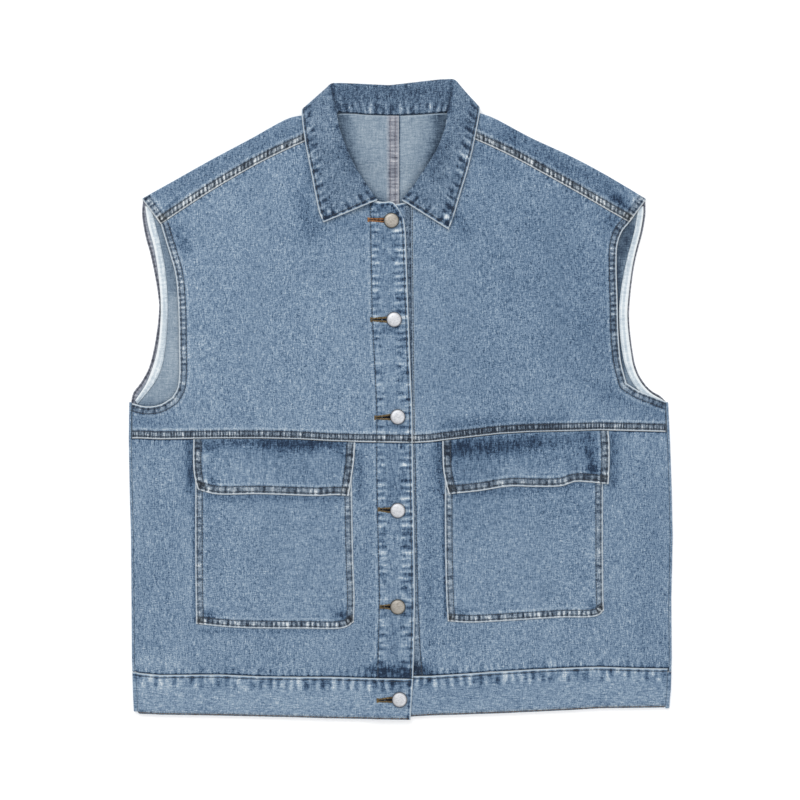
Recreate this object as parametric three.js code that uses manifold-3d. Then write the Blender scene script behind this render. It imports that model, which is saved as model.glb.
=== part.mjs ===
// Denim vest laid flat on its back, front up. Millimetres.
// +X is the right of the vest as it is looked down on, +Y its collar, +Z up from the surface that it lies on.
// The wearer's right side is therefore at -X. The origin is below the middle of the vest, on that surface.
import * as THREE from 'three';
import { mergeVertices } from 'three/addons/utils/BufferGeometryUtils.js';
import Module from 'manifold-3d';

const wasm = await Module();
wasm.setup();

// Plies, as they lie: one cloth, a felled or folded edge, and the made-up pieces.
const clothPly = 1.2;
const seamPly = 2.2;
const bandPly = 2.4;
const flapPly = 1.8;
const bagPly = 1.1;
const tapePly = 0.9;
const collarPly = 2.0;

// Clearances: between pieces that lie on each other, and across a seam.
const layGap = 0.4;
const seamGap = 0.3;

// Widths of the felled seams and hems, and of the step down from them.
const fellWidth = 9;
const fellStep = 2;

// The hollow body: how high the fronts lie over the back at its sides, and how much more in the middle.
const frontRest = 3.0;
const loftMiddle = 0.9;
const waveHeight = 0.25;
const halfWidth = 300;

// The collar's fall lies under the back at the neck, and lifts it.
const collarLift = 2.8;
const neckMiddle = -11;
const fallHalf = 102;
const fallDepth = 272;
const fallCorner = 312;
const liftReach = 27;
const liftRamp = 20;

// The right front laps over the left one and climbs on to it between these two lines.
const lapLift = 2.8;
const lapStart = -46;
const lapFull = -27;

// Centre-back seam, and the felled strip inside it.
const backSeam = -1.6;
const backStrip = 11;
const backNeckMiddle = 313.6;

// The sides fold round to the front and end at a seam this far in from the outline.
const sideTurn = 3;
const bandTurn = 4.4;

// The seam of the hem band behind.
const backBandSeam = -299;
const turnSteps = 5;

// Tack buttons.
const buttonRadius = 8.5;
const shankRadius = 3;
const capHeight = 3.1;
const buttonSegments = 24;

// Outline at the sides: half sizes by height on the vest.
const sides = [
  { y: -341, right: -294, left: 296 },
  { y: -318, right: -295, left: 298 },
  { y: -285, right: -296, left: 299 },
  { y: -219, right: -296.5, left: 298.5 },
  { y: -150, right: -297, left: 300 },
  { y: -100, right: -298.5, left: 299 },
  { y: -43, right: -299.5, left: 297 },
  { y: -2, right: -299, left: 295 },
];

// Button stands: the stitched line and the edge of the upper (right) front and of the lower (left) one.
const stands = [
  { y: -303, upperLine: -25, upperEdge: 14, lowerEdge: -18, lowerLine: 24 },
  { y: -274, upperLine: -24.5, upperEdge: 15, lowerEdge: -18, lowerLine: 21.5 },
  { y: -219, upperLine: -23, upperEdge: 16, lowerEdge: -19, lowerLine: 19 },
  { y: -175, upperLine: -24, upperEdge: 15.5, lowerEdge: -19.5, lowerLine: 18 },
  { y: -87, upperLine: -26, upperEdge: 14, lowerEdge: -20.5, lowerLine: 16.5 },
  { y: -10, upperLine: -26, upperEdge: 13, lowerEdge: -21, lowerLine: 15 },
  { y: 34, upperLine: -28, upperEdge: 11, lowerEdge: -21, lowerLine: 14.5 },
  { y: 89, upperLine: -31, upperEdge: 9, lowerEdge: -21, lowerLine: 14 },
  { y: 177, upperLine: -32.5, upperEdge: 6, lowerEdge: -23, lowerLine: 13 },
  { y: 222, upperLine: -33, upperEdge: 4, lowerEdge: -23, lowerLine: 13 },
];

// Seams across the body, by distance along X: chest seam, seam of the hem band, and the hem's edge.
const rightCross = [
  { x: -299, chest: -42, band: -297, hem: -338 },
  { x: -287, chest: -42, band: -300, hem: -344 },
  { x: -265, chest: -43, band: -302, hem: -346 },
  { x: -199, chest: -42, band: -301.5, hem: -347 },
  { x: -155, chest: -42, band: -303.5, hem: -348 },
  { x: -111, chest: -43, band: -304, hem: -349 },
  { x: -78, chest: -45, band: -304, hem: -350 },
  { x: -45, chest: -46, band: -305, hem: -350.5 },
  { x: 16, chest: -47, band: -306, hem: -351.5 },
];
const leftCross = [
  { x: -24, chest: -47, band: -303, hem: -349 },
  { x: 14, chest: -47, band: -303, hem: -348 },
  { x: 32, chest: -46, band: -303, hem: -347 },
  { x: 65, chest: -42, band: -301, hem: -346 },
  { x: 109, chest: -37, band: -298, hem: -344.5 },
  { x: 142, chest: -35, band: -296, hem: -343 },
  { x: 186, chest: -34, band: -294, hem: -341 },
  { x: 219, chest: -33, band: -293, hem: -339 },
  { x: 263, chest: -34, band: -294.5, hem: -338.5 },
  { x: 300, chest: -35, band: -295, hem: -338 },
];

// Armholes and shoulders of each side, as the lines that a cutter would draw. Armholes run upwards, and
// shoulder seams inwards from the armhole.
const rightCurves = {
  armholeFloor: [[-295.5, -3], [-280, -6.5], [-263, -3], [-246, 9]],
  frontArmhole: [
    [-246, 9], [-244, 30], [-244, 56], [-245, 106], [-248, 139], [-254, 161], [-259, 177], [-264, 194],
  ],
  shoulderSeam: [[-264, 194], [-225, 220], [-193, 240], [-158, 260], [-130, 274], [-107, 284.5], [-79, 298]],
  frontNeck: [[-33, 222], [-45, 231], [-60, 249], [-71, 273], [-79, 298]],
  standTop: [[-33, 222], [-21, 218.5], [-9, 218.5], [-1, 209.5], [4, 199]],
  backArmhole: [
    [-296.8, 0], [-286.6, 19], [-278, 34.5], [-271.5, 58.5], [-266.3, 98], [-267, 115], [-275.6, 161],
    [-281, 180.5], [-285, 206], [-284, 218],
  ],
  shoulderFold: [
    [-73, 318.5], [-90, 317.5], [-106, 314.5], [-124, 309.5], [-165, 286.5], [-210, 262.5], [-250, 240.5],
    [-285, 222.5],
  ],
  backNeck: [[-34, 314.5], [-54, 316], [-73, 317]],
  tapeOuter: [
    [-290, 8], [-279, 24], [-272, 43.5], [-267, 62], [-264.5, 90], [-264.5, 112], [-267, 139], [-271.5, 167],
    [-278.5, 194], [-281.5, 214],
  ],
  tapeInner: [
    [-284, 14], [-272, 29.5], [-264.5, 52], [-259, 73], [-256, 95], [-256, 117], [-259, 145], [-264.6, 172],
    [-271, 197], [-274.5, 214],
  ],
};
const leftCurves = {
  armholeFloor: [[292, -1], [277, 5], [262, 11], [249, 19]],
  frontArmhole: [
    [249, 19], [243, 42], [240, 75], [239, 111], [238, 150], [239, 172], [244, 186], [252, 196],
  ],
  shoulderSeam: [[252, 196], [230, 208.5], [199, 226.5], [157, 250], [123, 268.5], [81, 288], [63, 295.5]],
  frontNeck: [[13, 224], [25, 232], [39, 249], [52, 271], [63, 295.5]],
  standTop: [[13, 224], [4, 218], [-6, 216], [-15, 214], [-23, 208]],
  backArmhole: [
    [292.8, 0], [276.7, 10.5], [266.8, 21], [259, 36], [254.7, 56], [251, 89], [251.4, 106], [257, 150],
    [266.8, 188], [270, 206], [270, 217],
  ],
  shoulderFold: [[55, 319], [70, 320], [85, 319], [104, 314], [143, 290], [185, 267], [230, 243.5], [271, 222]],
  backNeck: [[18, 314.5], [38, 316], [55, 317]],
  tapeOuter: [
    [272, 16], [263.5, 24], [257, 38], [252.7, 57], [249, 89], [249.4, 106], [255, 150], [264.5, 188],
    [267.5, 206], [267.5, 214],
  ],
  tapeInner: [
    [264, 17], [256, 24], [249, 38], [244.8, 56], [242.6, 84], [242.6, 106], [246, 133], [251.4, 160],
    [258, 188], [262, 214],
  ],
};

// The collar, from its end on the right front round the neck to its end on the left front. A section runs
// from the neck seam (foot) up to the roll and back down the fall to the fall's edge. Over is 1 where the
// fall lies on the front, and 0 where it lies under the back.
const collarSections = [
  { footX: -30, footY: 223, rollX: -26, rollY: 220, edgeX: -85, edgeY: 196, over: 1 },
  { footX: -43, footY: 233, rollX: -37, rollY: 236, edgeX: -90, edgeY: 208, over: 1 },
  { footX: -57, footY: 248, rollX: -50, rollY: 256, edgeX: -94, edgeY: 228, over: 1 },
  { footX: -69, footY: 271, rollX: -60, rollY: 277, edgeX: -99, edgeY: 254, over: 1 },
  { footX: -76, footY: 297, rollX: -68, rollY: 299, edgeX: -104, edgeY: 279, over: 1 },
  { footX: -71, footY: 310, rollX: -72, rollY: 321, edgeX: -107, edgeY: 298, over: 1 },
  { footX: -69.5, footY: 316.5, rollX: -76, rollY: 338, edgeX: -108.5, edgeY: 313, over: 0.9 },
  { footX: -68.5, footY: 318.5, rollX: -79, rollY: 347, edgeX: -108.5, edgeY: 322, over: 0.5 },
  { footX: -65, footY: 317.6, rollX: -74, rollY: 349, edgeX: -103, edgeY: 321, over: 0.08 },
  { footX: -58, footY: 317, rollX: -64, rollY: 349, edgeX: -88, edgeY: 302, over: 0 },
  { footX: -38, footY: 315.6, rollX: -42, rollY: 348, edgeX: -54, edgeY: 287, over: 0 },
  { footX: -10, footY: 314.6, rollX: -12, rollY: 346.5, edgeX: -12, edgeY: 282, over: 0 },
  { footX: 20, footY: 315.6, rollX: 22, rollY: 350.5, edgeX: 32, edgeY: 287, over: 0 },
  { footX: 40, footY: 317, rollX: 44, rollY: 353, edgeX: 66, edgeY: 302, over: 0 },
  { footX: 48, footY: 317.6, rollX: 55, rollY: 353, edgeX: 81, edgeY: 322, over: 0.08 },
  { footX: 51, footY: 318.5, rollX: 60.5, rollY: 350, edgeX: 87, edgeY: 324, over: 0.5 },
  { footX: 52, footY: 316.5, rollX: 57, rollY: 338, edgeX: 87, edgeY: 315, over: 0.9 },
  { footX: 54, footY: 310, rollX: 53, rollY: 321, edgeX: 84, edgeY: 299, over: 1 },
  { footX: 60, footY: 295, rollX: 50, rollY: 300, edgeX: 80, edgeY: 279, over: 1 },
  { footX: 50, footY: 270, rollX: 42, rollY: 278, edgeX: 74, edgeY: 254, over: 1 },
  { footX: 37, footY: 249, rollX: 29, rollY: 257, edgeX: 66, edgeY: 228, over: 1 },
  { footX: 23, footY: 233, rollX: 15, rollY: 236, edgeX: 59, edgeY: 204, over: 1 },
  { footX: 10, footY: 224, rollX: 2, rollY: 220, edgeX: 53, edgeY: 188, over: 1 },
];

// Pocket bags and flaps: their cut edges, each from the top or the outer corner.
const rightPocket = {
  bagLeft: [[-225, -246], [-225.5, -219], [-226, -175], [-226, -60]],
  bagRight: [[-51.5, -244], [-50.5, -219], [-52, -175], [-54, -60]],
  bagFoot: [[-225, -246], [-182, -250], [-111, -251], [-61, -250], [-51.5, -244]],
  flapLeft: [[-223, -98], [-226, -88], [-228, -74], [-228, -44]],
  flapRight: [[-57, -105], [-54, -87], [-51, -65], [-50, -46]],
  flapFoot: [[-223, -98], [-204, -103], [-155, -103], [-89, -105], [-72, -104], [-57, -105]],
};
const leftPocket = {
  bagLeft: [[52, -243], [50.5, -219], [49, -153], [49, -60]],
  bagRight: [[224, -231], [223.5, -219], [223, -175], [223, -55]],
  bagFoot: [[52, -243], [76, -244.5], [109, -243], [175, -239], [217, -237], [224, -231]],
  flapLeft: [[53, -103], [50, -92], [47, -76], [46, -46]],
  flapRight: [[229, -92], [230, -70], [230, -48], [229, -35]],
  flapFoot: [[53, -103], [87, -99.5], [120, -94.5], [150, -95], [178, -94], [192, -89.5], [208, -90], [229, -92]],
};
const flapSettle = 14;

// Buttons down the front, with the far end of each buttonhole.
const buttons = [
  { x: -10, y: 198, holeX: -35, holeY: 199 },
  { x: -7, y: 89, holeX: -32, holeY: 89 },
  { x: -3, y: -18, holeX: -27.5, holeY: -19 },
  { x: -3, y: -121, holeX: -24, holeY: -120 },
  { x: -3, y: -227, holeX: -22, holeY: -227 },
  { x: -1, y: -329, holeX: -25, holeY: -330 },
];
const holeTip = 0.8;
const holeMouth = 3.6;
const holePast = 4;

const colours = { denim: 0x7b919f, tape: 0xe6eef2, metal: 0xd6d0c4 };

// Readings from the tables, straight between their rows.
function read(rows, along, want, value) {
  const last = rows.length - 1;
  if (value <= rows[0][along]) return rows[0][want];
  for (let row = 0; row < last; row += 1) {
    const from = rows[row];
    const to = rows[row + 1];
    if (value <= to[along]) {
      const share = (value - from[along]) / (to[along] - from[along]);
      return THREE.MathUtils.lerp(from[want], to[want], share);
    }
  }
  return rows[last][want];
}

const standAt = (line, y) => read(stands, 'y', line, y);
const point = (x, y) => new THREE.Vector2(x, y);
const smooth = (share) => THREE.MathUtils.smoothstep(share, 0, 1);

// How high the back lies: flat on the surface, and up over the fall of the collar at the neck.
function backRest(x, y) {
  const across = Math.abs(x - neckMiddle);
  const inside = Math.min(across, fallHalf);
  const edge = fallDepth + (fallCorner - fallDepth) * (inside / fallHalf) ** 2.2;
  const away = Math.hypot(across - inside, Math.max(edge - y, 0));
  return collarLift * smooth((liftReach - away) / liftRamp);
}

// How high the fronts lie, with the broad soft folds of the body.
function frontLay(x, y) {
  const middle = Math.max(0, 1 - (x / halfWidth) ** 2);
  const waves = Math.sin(x / 34 + y / 120) + 0.6 * Math.sin(y / 47 - x / 90 + 1);
  return frontRest + middle * (loftMiddle + waveHeight * waves) + backRest(x, y);
}

const lapAt = (x) => lapLift * THREE.MathUtils.clamp((x - lapStart) / (lapFull - lapStart), 0, 1);
const rightLay = (x, y) => frontLay(x, y) + lapAt(x);

// Points along a broken line, evenly by length.
function along(line, count) {
  const lengths = [0];
  for (let i = 1; i < line.length; i += 1) {
    lengths.push(lengths[i - 1] + Math.hypot(line[i][0] - line[i - 1][0], line[i][1] - line[i - 1][1]));
  }
  const rows = line.map(([x, y], i) => ({ length: lengths[i], x, y }));
  const whole = lengths[lengths.length - 1];
  const points = [];
  for (let i = 0; i <= count; i += 1) {
    const reach = (whole * i) / count;
    points.push(point(read(rows, 'length', 'x', reach), read(rows, 'length', 'y', reach)));
  }
  return points;
}

// A patch of points between four edges: foot and head from left to right, left and right from foot to head.
function patch(foot, head, left, right) {
  const columns = foot.length - 1;
  const rows = left.length - 1;
  const grid = [];
  for (let j = 0; j <= rows; j += 1) {
    const up = j / rows;
    const line = [];
    for (let i = 0; i <= columns; i += 1) {
      const over = i / columns;
      const mix = (key) =>
        (1 - up) * foot[i][key] + up * head[i][key] + (1 - over) * left[j][key] + over * right[j][key]
        - (1 - over) * (1 - up) * foot[0][key] - over * (1 - up) * foot[columns][key]
        - (1 - over) * up * head[0][key] - over * up * head[columns][key];
      line.push(point(mix('x'), mix('y')));
    }
    grid.push(line);
  }
  return grid;
}

// A sheet joins grids whose shared points are the same.
class Sheet {
  constructor() {
    this.points = [];
    this.quads = [];
    this.places = new Map();
  }

  place(spot) {
    const key = [spot.x, spot.y, spot.z ?? 0].map((value) => value.toFixed(2)).join();
    if (!this.places.has(key)) {
      this.places.set(key, this.points.length);
      this.points.push(spot);
    }
    return this.places.get(key);
  }

  add(grid) {
    const index = grid.map((line) => line.map((spot) => this.place(spot)));
    for (let j = 0; j < index.length - 1; j += 1) {
      for (let i = 0; i < index[j].length - 1; i += 1) {
        this.quads.push([index[j][i], index[j][i + 1], index[j + 1][i + 1], index[j + 1][i]]);
      }
    }
  }
}

// A closed wall from the two faces of a sheet, its quads anticlockwise seen from the first face.
function closedWall(first, second, quads) {
  const count = first.length;
  const faces = [];
  const edges = new Map();
  for (const quad of quads) {
    const corners = quad.filter((corner, i) => corner !== quad[(i + 1) % quad.length]);
    for (let i = 1; i < corners.length - 1; i += 1) {
      faces.push(corners[0], corners[i], corners[i + 1]);
      faces.push(corners[0] + count, corners[i + 1] + count, corners[i] + count);
    }
    corners.forEach((from, i) => edges.set(`${from},${corners[(i + 1) % corners.length]}`, true));
  }
  for (const edge of edges.keys()) {
    const [from, to] = edge.split(',').map(Number);
    if (!edges.has(`${to},${from}`)) {
      faces.push(to, from, from + count);
      faces.push(to, from + count, to + count);
    }
  }
  const positions = [...first, ...second].flatMap((spot) => [spot.x, spot.y, spot.z]);
  const geometry = new THREE.BufferGeometry();
  geometry.setAttribute('position', new THREE.Float32BufferAttribute(positions, 3));
  geometry.setIndex(faces);
  return geometry;
}

// A piece that lies on what is under it: the lay gives its underside and the ply its thickness.
function laidWall(sheet, lay, ply) {
  const under = sheet.points.map((spot) => new THREE.Vector3(spot.x, spot.y, lay(spot.x, spot.y)));
  const upper = under.map((spot, i) => new THREE.Vector3(spot.x, spot.y, spot.z + ply(sheet.points[i])));
  return closedWall(upper, under, sheet.quads);
}

// A piece that turns over on itself: the wall lies to both sides of its middle surface.
function turnedWall(sheet, inner, outer) {
  const normals = sheet.points.map(() => new THREE.Vector3());
  for (const [a, b, c, d] of sheet.quads) {
    const [pa, pb, pc, pd] = [a, b, c, d].map((corner) => sheet.points[corner]);
    const normal = pc.clone().sub(pa).cross(pd.clone().sub(pb));
    [a, b, c, d].forEach((corner) => normals[corner].add(normal));
  }
  normals.forEach((normal) => normal.normalize());
  const first = sheet.points.map((spot, i) => spot.clone().addScaledVector(normals[i], inner(spot)));
  const second = sheet.points.map((spot, i) => spot.clone().addScaledVector(normals[i], -outer(spot)));
  return closedWall(first, second, sheet.quads);
}

const flipped = (grid) => grid.map((line) => [...line].reverse());

// Marks on the points of a grid say which lie on a felled or folded edge.
function markFelled(grid, isFelled) {
  grid.forEach((line, j) => line.forEach((spot, i) => {
    spot.felled = isFelled(i, j);
  }));
  return grid;
}

const felledPly = (spot) => (spot.felled ? seamPly : clothPly);

// The two fronts share these shares of the way from the armhole to the stand, and across the stand.
const frontShares = [0, 0.035, 0.045, 0.18, 0.34, 0.5, 0.66, 0.8, 0.92, 0.992, 1];
const lowerShares = [0, 0.13, 0.26, 0.39, 0.52, 0.64, 0.75, 0.85, 0.92, 0.992, 1];
const standColumns = 4;
const shoulderRuns = 9;

function between(from, to, shares) {
  return shares.map((share) => point(
    THREE.MathUtils.lerp(from.x, to.x, share),
    THREE.MathUtils.lerp(from.y, to.y, share),
  ));
}

// The stand of a front, from its stitched line to its edge, folded double all over.
function standGrid(line, edge, foot, head, levels) {
  const inner = levels.map((y) => point(standAt(line, y), y));
  const outer = levels.map((y) => point(standAt(edge, y), y));
  inner[0] = foot[0];
  outer[0] = foot[foot.length - 1];
  inner[levels.length - 1] = head[0];
  outer[levels.length - 1] = head[head.length - 1];
  return markFelled(patch(foot, head, inner, outer), () => true);
}

function standFoot(line, edge, level) {
  const from = standAt(line, level(0));
  const to = standAt(edge, level(0));
  const foot = [];
  for (let i = 0; i <= standColumns; i += 1) {
    const x = THREE.MathUtils.lerp(from, to, i / standColumns);
    foot.push(point(x, level(x)));
  }
  return foot;
}

// Front above the chest seam. Its grids run from the side seam to the edge of the stand.
function frontUpper(side) {
  const { cross, curves, line, edge, turned } = side;
  const chest = (x) => read(cross, 'x', 'chest', x) + seamGap;
  const floor = curves.armholeFloor.map(([x, y]) => point(x, y));
  const corner = floor[floor.length - 1];
  const standLevels = [8, 50, 95, 140, 185, 222];
  const neck = along(curves.frontNeck, curves.frontNeck.length - 1);
  const standSide = standLevels.map((y) => point(standAt(line, y), y));
  standSide[standSide.length - 1] = neck[0];
  const levelRow = between(corner, standSide[0], frontShares);
  const foot = standFoot(line, edge, chest);

  const hem = [...floor, ...levelRow.slice(1)];
  const chestRow = hem.map((spot, i) => {
    const x = i === hem.length - 1 ? foot[0].x : spot.x;
    return point(x, chest(x));
  });
  const sideX = floor[0].x;
  const sideLevels = [0, fellWidth, fellWidth + fellStep, 24, 27, floor[0].y - chest(sideX)];
  const sideRow = sideLevels.map((up) => point(sideX, chest(sideX) + up));
  const standLow = [0, fellWidth, fellWidth + fellStep, 28, 38].map((up) => {
    const y = foot[0].y + up;
    return point(standAt(line, y), y);
  });
  standLow.push(standSide[0]);
  standLow[0] = foot[0];
  const low = patch(chestRow, hem, sideRow, standLow);
  const last = floor.length - 1;
  markFelled(low, (i, j) => j < 2 || (i <= last + 1 && j > 3) || i === hem.length - 1);

  const right = [...standSide, ...neck.slice(1)];
  const left = along(curves.frontArmhole, right.length - 1);
  const head = frontShares.map((share) => seamSpot(curves.shoulderSeam, share));
  const high = patch(levelRow, head, left, right);
  markFelled(high, (i, j) => i < 2 || (i === frontShares.length - 1 && j < standSide.length));

  const standHead = curves.standTop.map(([x, y]) => point(x, y));
  const levels = [...standLow.map((spot) => spot.y), ...standLevels.slice(1)];
  const stand = standGrid(line, edge, foot, standHead, levels);

  const sheet = new Sheet();
  [low, high, stand].forEach((grid) => sheet.add(turned ? flipped(grid) : grid));
  return laidWall(sheet, side.lay, felledPly);
}

// A spot on the shoulder seam, which both its pieces follow in the same straight runs.
function seamSpot(line, share) {
  const runs = along(line, shoulderRuns);
  const reach = share * shoulderRuns;
  const run = Math.min(Math.floor(reach), shoulderRuns - 1);
  return runs[run].clone().lerp(runs[run + 1], reach - run);
}

// Front between the chest seam and the hem band.
function frontLower(side) {
  const { cross, line, edge, turned, key } = side;
  const chest = (x) => read(cross, 'x', 'chest', x) - seamGap;
  const band = (x) => read(cross, 'x', 'band', x) + seamGap;
  const inward = side.turned ? -1 : 1;
  const levels = [-285, -219, -150, -100, -68];
  const seamX = (y) => read(sides, 'y', key, y) + inward * sideTurn;
  const foot = standFoot(line, edge, band);
  const head = standFoot(line, edge, chest);
  const rowAt = (level, standEnd) => {
    const from = seamX(level(inward * -halfWidth));
    return lowerShares.map((share) => {
      const x = THREE.MathUtils.lerp(from, standEnd.x, share);
      return point(x, level(x));
    });
  };
  const footRow = rowAt(band, foot[0]);
  const headRow = rowAt(chest, head[0]);
  footRow[footRow.length - 1] = foot[0];
  headRow[headRow.length - 1] = head[0];
  const sideRow = [footRow[0], ...levels.map((y) => point(seamX(y), y)), headRow[0]];
  const standRow = [foot[0], ...levels.map((y) => point(standAt(line, y), y)), head[0]];
  const body = patch(footRow, headRow, sideRow, standRow);
  markFelled(body, (i) => i === lowerShares.length - 1);
  const stand = standGrid(line, edge, foot, head, [foot[0].y, ...levels, head[0].y]);
  const sheet = new Sheet();
  [body, stand].forEach((grid) => sheet.add(turned ? flipped(grid) : grid));
  return laidWall(sheet, side.lay, felledPly);
}

// Hem band on a front, folded double, with its end at the edge of the stand.
function frontBand(side) {
  const { cross, edge, turned, key, bandEnd } = side;
  const inward = turned ? -1 : 1;
  const top = (x) => read(cross, 'x', 'band', x) - seamGap;
  const hem = (x) => read(cross, 'x', 'hem', x);
  const shares = [...lowerShares.slice(0, -2), 0.955, 1];
  const row = (level, from, to) => shares.map((share) => {
    const x = THREE.MathUtils.lerp(from, to, share);
    return point(x, level(x));
  });
  const sideAt = (y) => read(sides, 'y', key, y) + inward * (bandTurn + seamGap * 2);
  const footRow = row(hem, sideAt(-341) + inward, bandEnd.hem);
  const headRow = row(top, sideAt(-300), bandEnd.top);
  const near = [0.15, 0.78].map((up) => {
    const y = THREE.MathUtils.lerp(footRow[0].y, headRow[0].y, up);
    return point(sideAt(y), y);
  });
  const endX = (up) => THREE.MathUtils.lerp(bandEnd.hem, bandEnd.top, up);
  const far = [0.15, 0.78].map((up) => {
    const y = THREE.MathUtils.lerp(footRow[footRow.length - 1].y, headRow[headRow.length - 1].y, up);
    return point(endX(up), y);
  });
  const grid = patch(footRow, headRow, [footRow[0], ...near, headRow[0]],
    [footRow[footRow.length - 1], ...far, headRow[headRow.length - 1]]);
  const sheet = new Sheet();
  sheet.add(turned ? flipped(grid) : grid);
  return laidWall(sheet, side.lay, () => bandPly);
}

// A half turn from the lower level to the upper one, outward from a line, then flat to the seam.
function halfTurn(spot, outward, lowZ, highZ, ply) {
  const radius = (highZ - lowZ) / 2;
  const middle = new THREE.Vector3(
    spot.x - outward.x * (radius + ply / 2),
    spot.y - outward.y * (radius + ply / 2),
    lowZ + radius,
  );
  const ring = [];
  for (let step = 0; step <= turnSteps; step += 1) {
    const angle = Math.PI * (step / turnSteps - 0.5);
    ring.push(new THREE.Vector3(
      middle.x + outward.x * radius * Math.cos(angle),
      middle.y + outward.y * radius * Math.cos(angle),
      middle.z + radius * Math.sin(angle),
    ));
  }
  return ring;
}

const backMiddle = (x, y) => backRest(x, y) + clothPly / 2;
const frontMiddle = (x, y) => frontLay(x, y) + clothPly / 2;
const raised = (spot, z) => new THREE.Vector3(spot.x, spot.y, z);

// One half of the back: flat below, round the side to its seam, and over the shoulder to the shoulder seam.
function backHalf(side) {
  const { curves, key, turned, seam } = side;
  const sign = turned ? 1 : -1;
  const firstY = backBandSeam + seamGap;
  const sideLevels = [-285, -219, -150, -100, -43, -2];
  const sideRings = [firstY, ...sideLevels].map((y) => {
    const x = read(sides, 'y', key, y);
    const ring = halfTurn(point(x, y), point(sign, 0), clothPly / 2, frontMiddle(x, y), clothPly);
    const end = ring[ring.length - 1];
    ring.push(new THREE.Vector3(x - sign * (sideTurn - seamGap), y, end.z));
    return ring;
  });

  const foldPoints = along(curves.shoulderFold, shoulderRuns);
  const outward = foldPoints.map((spot, i) => {
    const from = foldPoints[Math.max(i - 1, 0)];
    const to = foldPoints[Math.min(i + 1, foldPoints.length - 1)];
    const run = to.clone().sub(from).normalize();
    return point(-sign * run.y, sign * run.x);
  });
  const shoulderRings = foldPoints.map((spot, i) => halfTurn(
    spot, outward[i], backMiddle(spot.x, spot.y), frontMiddle(spot.x, spot.y), clothPly,
  ));

  const seamLine = [...curves.shoulderSeam].reverse();
  const seamPoints = along(seamLine, foldPoints.length - 1);
  const strips = shoulderRings.map((ring, i) => {
    const from = ring[ring.length - 1];
    const to = seamPoints[i];
    const length = Math.hypot(to.x - from.x, to.y - from.y);
    const shares = [0.45, 1 - (fellWidth + fellStep) / length, 1 - fellWidth / length, 1 - seamGap / length];
    return shares.map((share, step) => {
      const spot = point(
        THREE.MathUtils.lerp(from.x, to.x, share),
        THREE.MathUtils.lerp(from.y, to.y, share),
      );
      const lifted = raised(spot, frontMiddle(spot.x, spot.y));
      lifted.felled = step > 1;
      return lifted;
    });
  });

  const stripColumns = turned ? [seam] : [seam, seam - backStrip, seam - backStrip - fellStep];
  const neck = stripColumns.map((x) => point(x, backNeckMiddle));
  neck.push(...curves.backNeck.map(([x, y]) => point(x, y)));
  neck[neck.length - 1] = point(shoulderRings[0][0].x, shoulderRings[0][0].y);
  const head = [...neck, ...shoulderRings.slice(1).map((ring) => point(ring[0].x, ring[0].y))];
  const centreLevels = [-285, -219, -150, -100, -43, -2, 45, 100, 150, 195, 235, 266, 292];
  const centreFoot = point(seam, firstY);
  const centre = [centreFoot, ...centreLevels.map((y) => point(seam, y)), head[0]];
  const armholeStart = point(sideRings[sideRings.length - 1][0].x, sideRings[sideRings.length - 1][0].y);
  const armhole = along([[armholeStart.x, armholeStart.y], ...curves.backArmhole.slice(1, -1),
    [head[head.length - 1].x, head[head.length - 1].y]], centre.length - sideRings.length);
  const outer = [...sideRings.map((ring) => point(ring[0].x, ring[0].y)), ...armhole.slice(1)];
  outer[outer.length - 1] = head[head.length - 1];
  const foot = head.map((spot, i) => {
    if (i === 0) return centreFoot;
    if (i === head.length - 1) return outer[0];
    if (i < stripColumns.length) return point(spot.x, firstY);
    const share = (spot.x - head[0].x) / (head[head.length - 1].x - head[0].x);
    return point(THREE.MathUtils.lerp(head[0].x, outer[0].x, share), firstY);
  });
  const flat = patch(foot, head, centre, outer).map((line, j) => line.map((spot, i) => {
    const atSide = i === line.length - 1 && j < sideRings.length;
    const lifted = raised(spot, atSide ? clothPly / 2 : backMiddle(spot.x, spot.y));
    lifted.strip = !turned && i < 2;
    return lifted;
  }));
  shoulderRings.forEach((ring, i) => {
    flat[flat.length - 1][neck.length - 1 + i] = ring[0];
  });
  sideRings.forEach((ring, j) => {
    flat[j][flat[j].length - 1] = ring[0];
  });

  const wrap = shoulderRings.map((ring, i) => [...ring, ...strips[i]]);
  const sheet = new Sheet();
  sheet.add(turned ? flat : flipped(flat));
  sheet.add(turned ? sideRings : flipped(sideRings));
  const wrapRows = wrap[0].map((_, row) => wrap.map((ring) => ring[row]));
  sheet.add(turned ? wrapRows : flipped(wrapRows));
  const half = clothPly / 2;
  const extra = seamPly - clothPly;
  return turnedWall(sheet, (spot) => half + (spot.strip ? extra : 0), (spot) => half + (spot.felled ? extra : 0));
}

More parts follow.
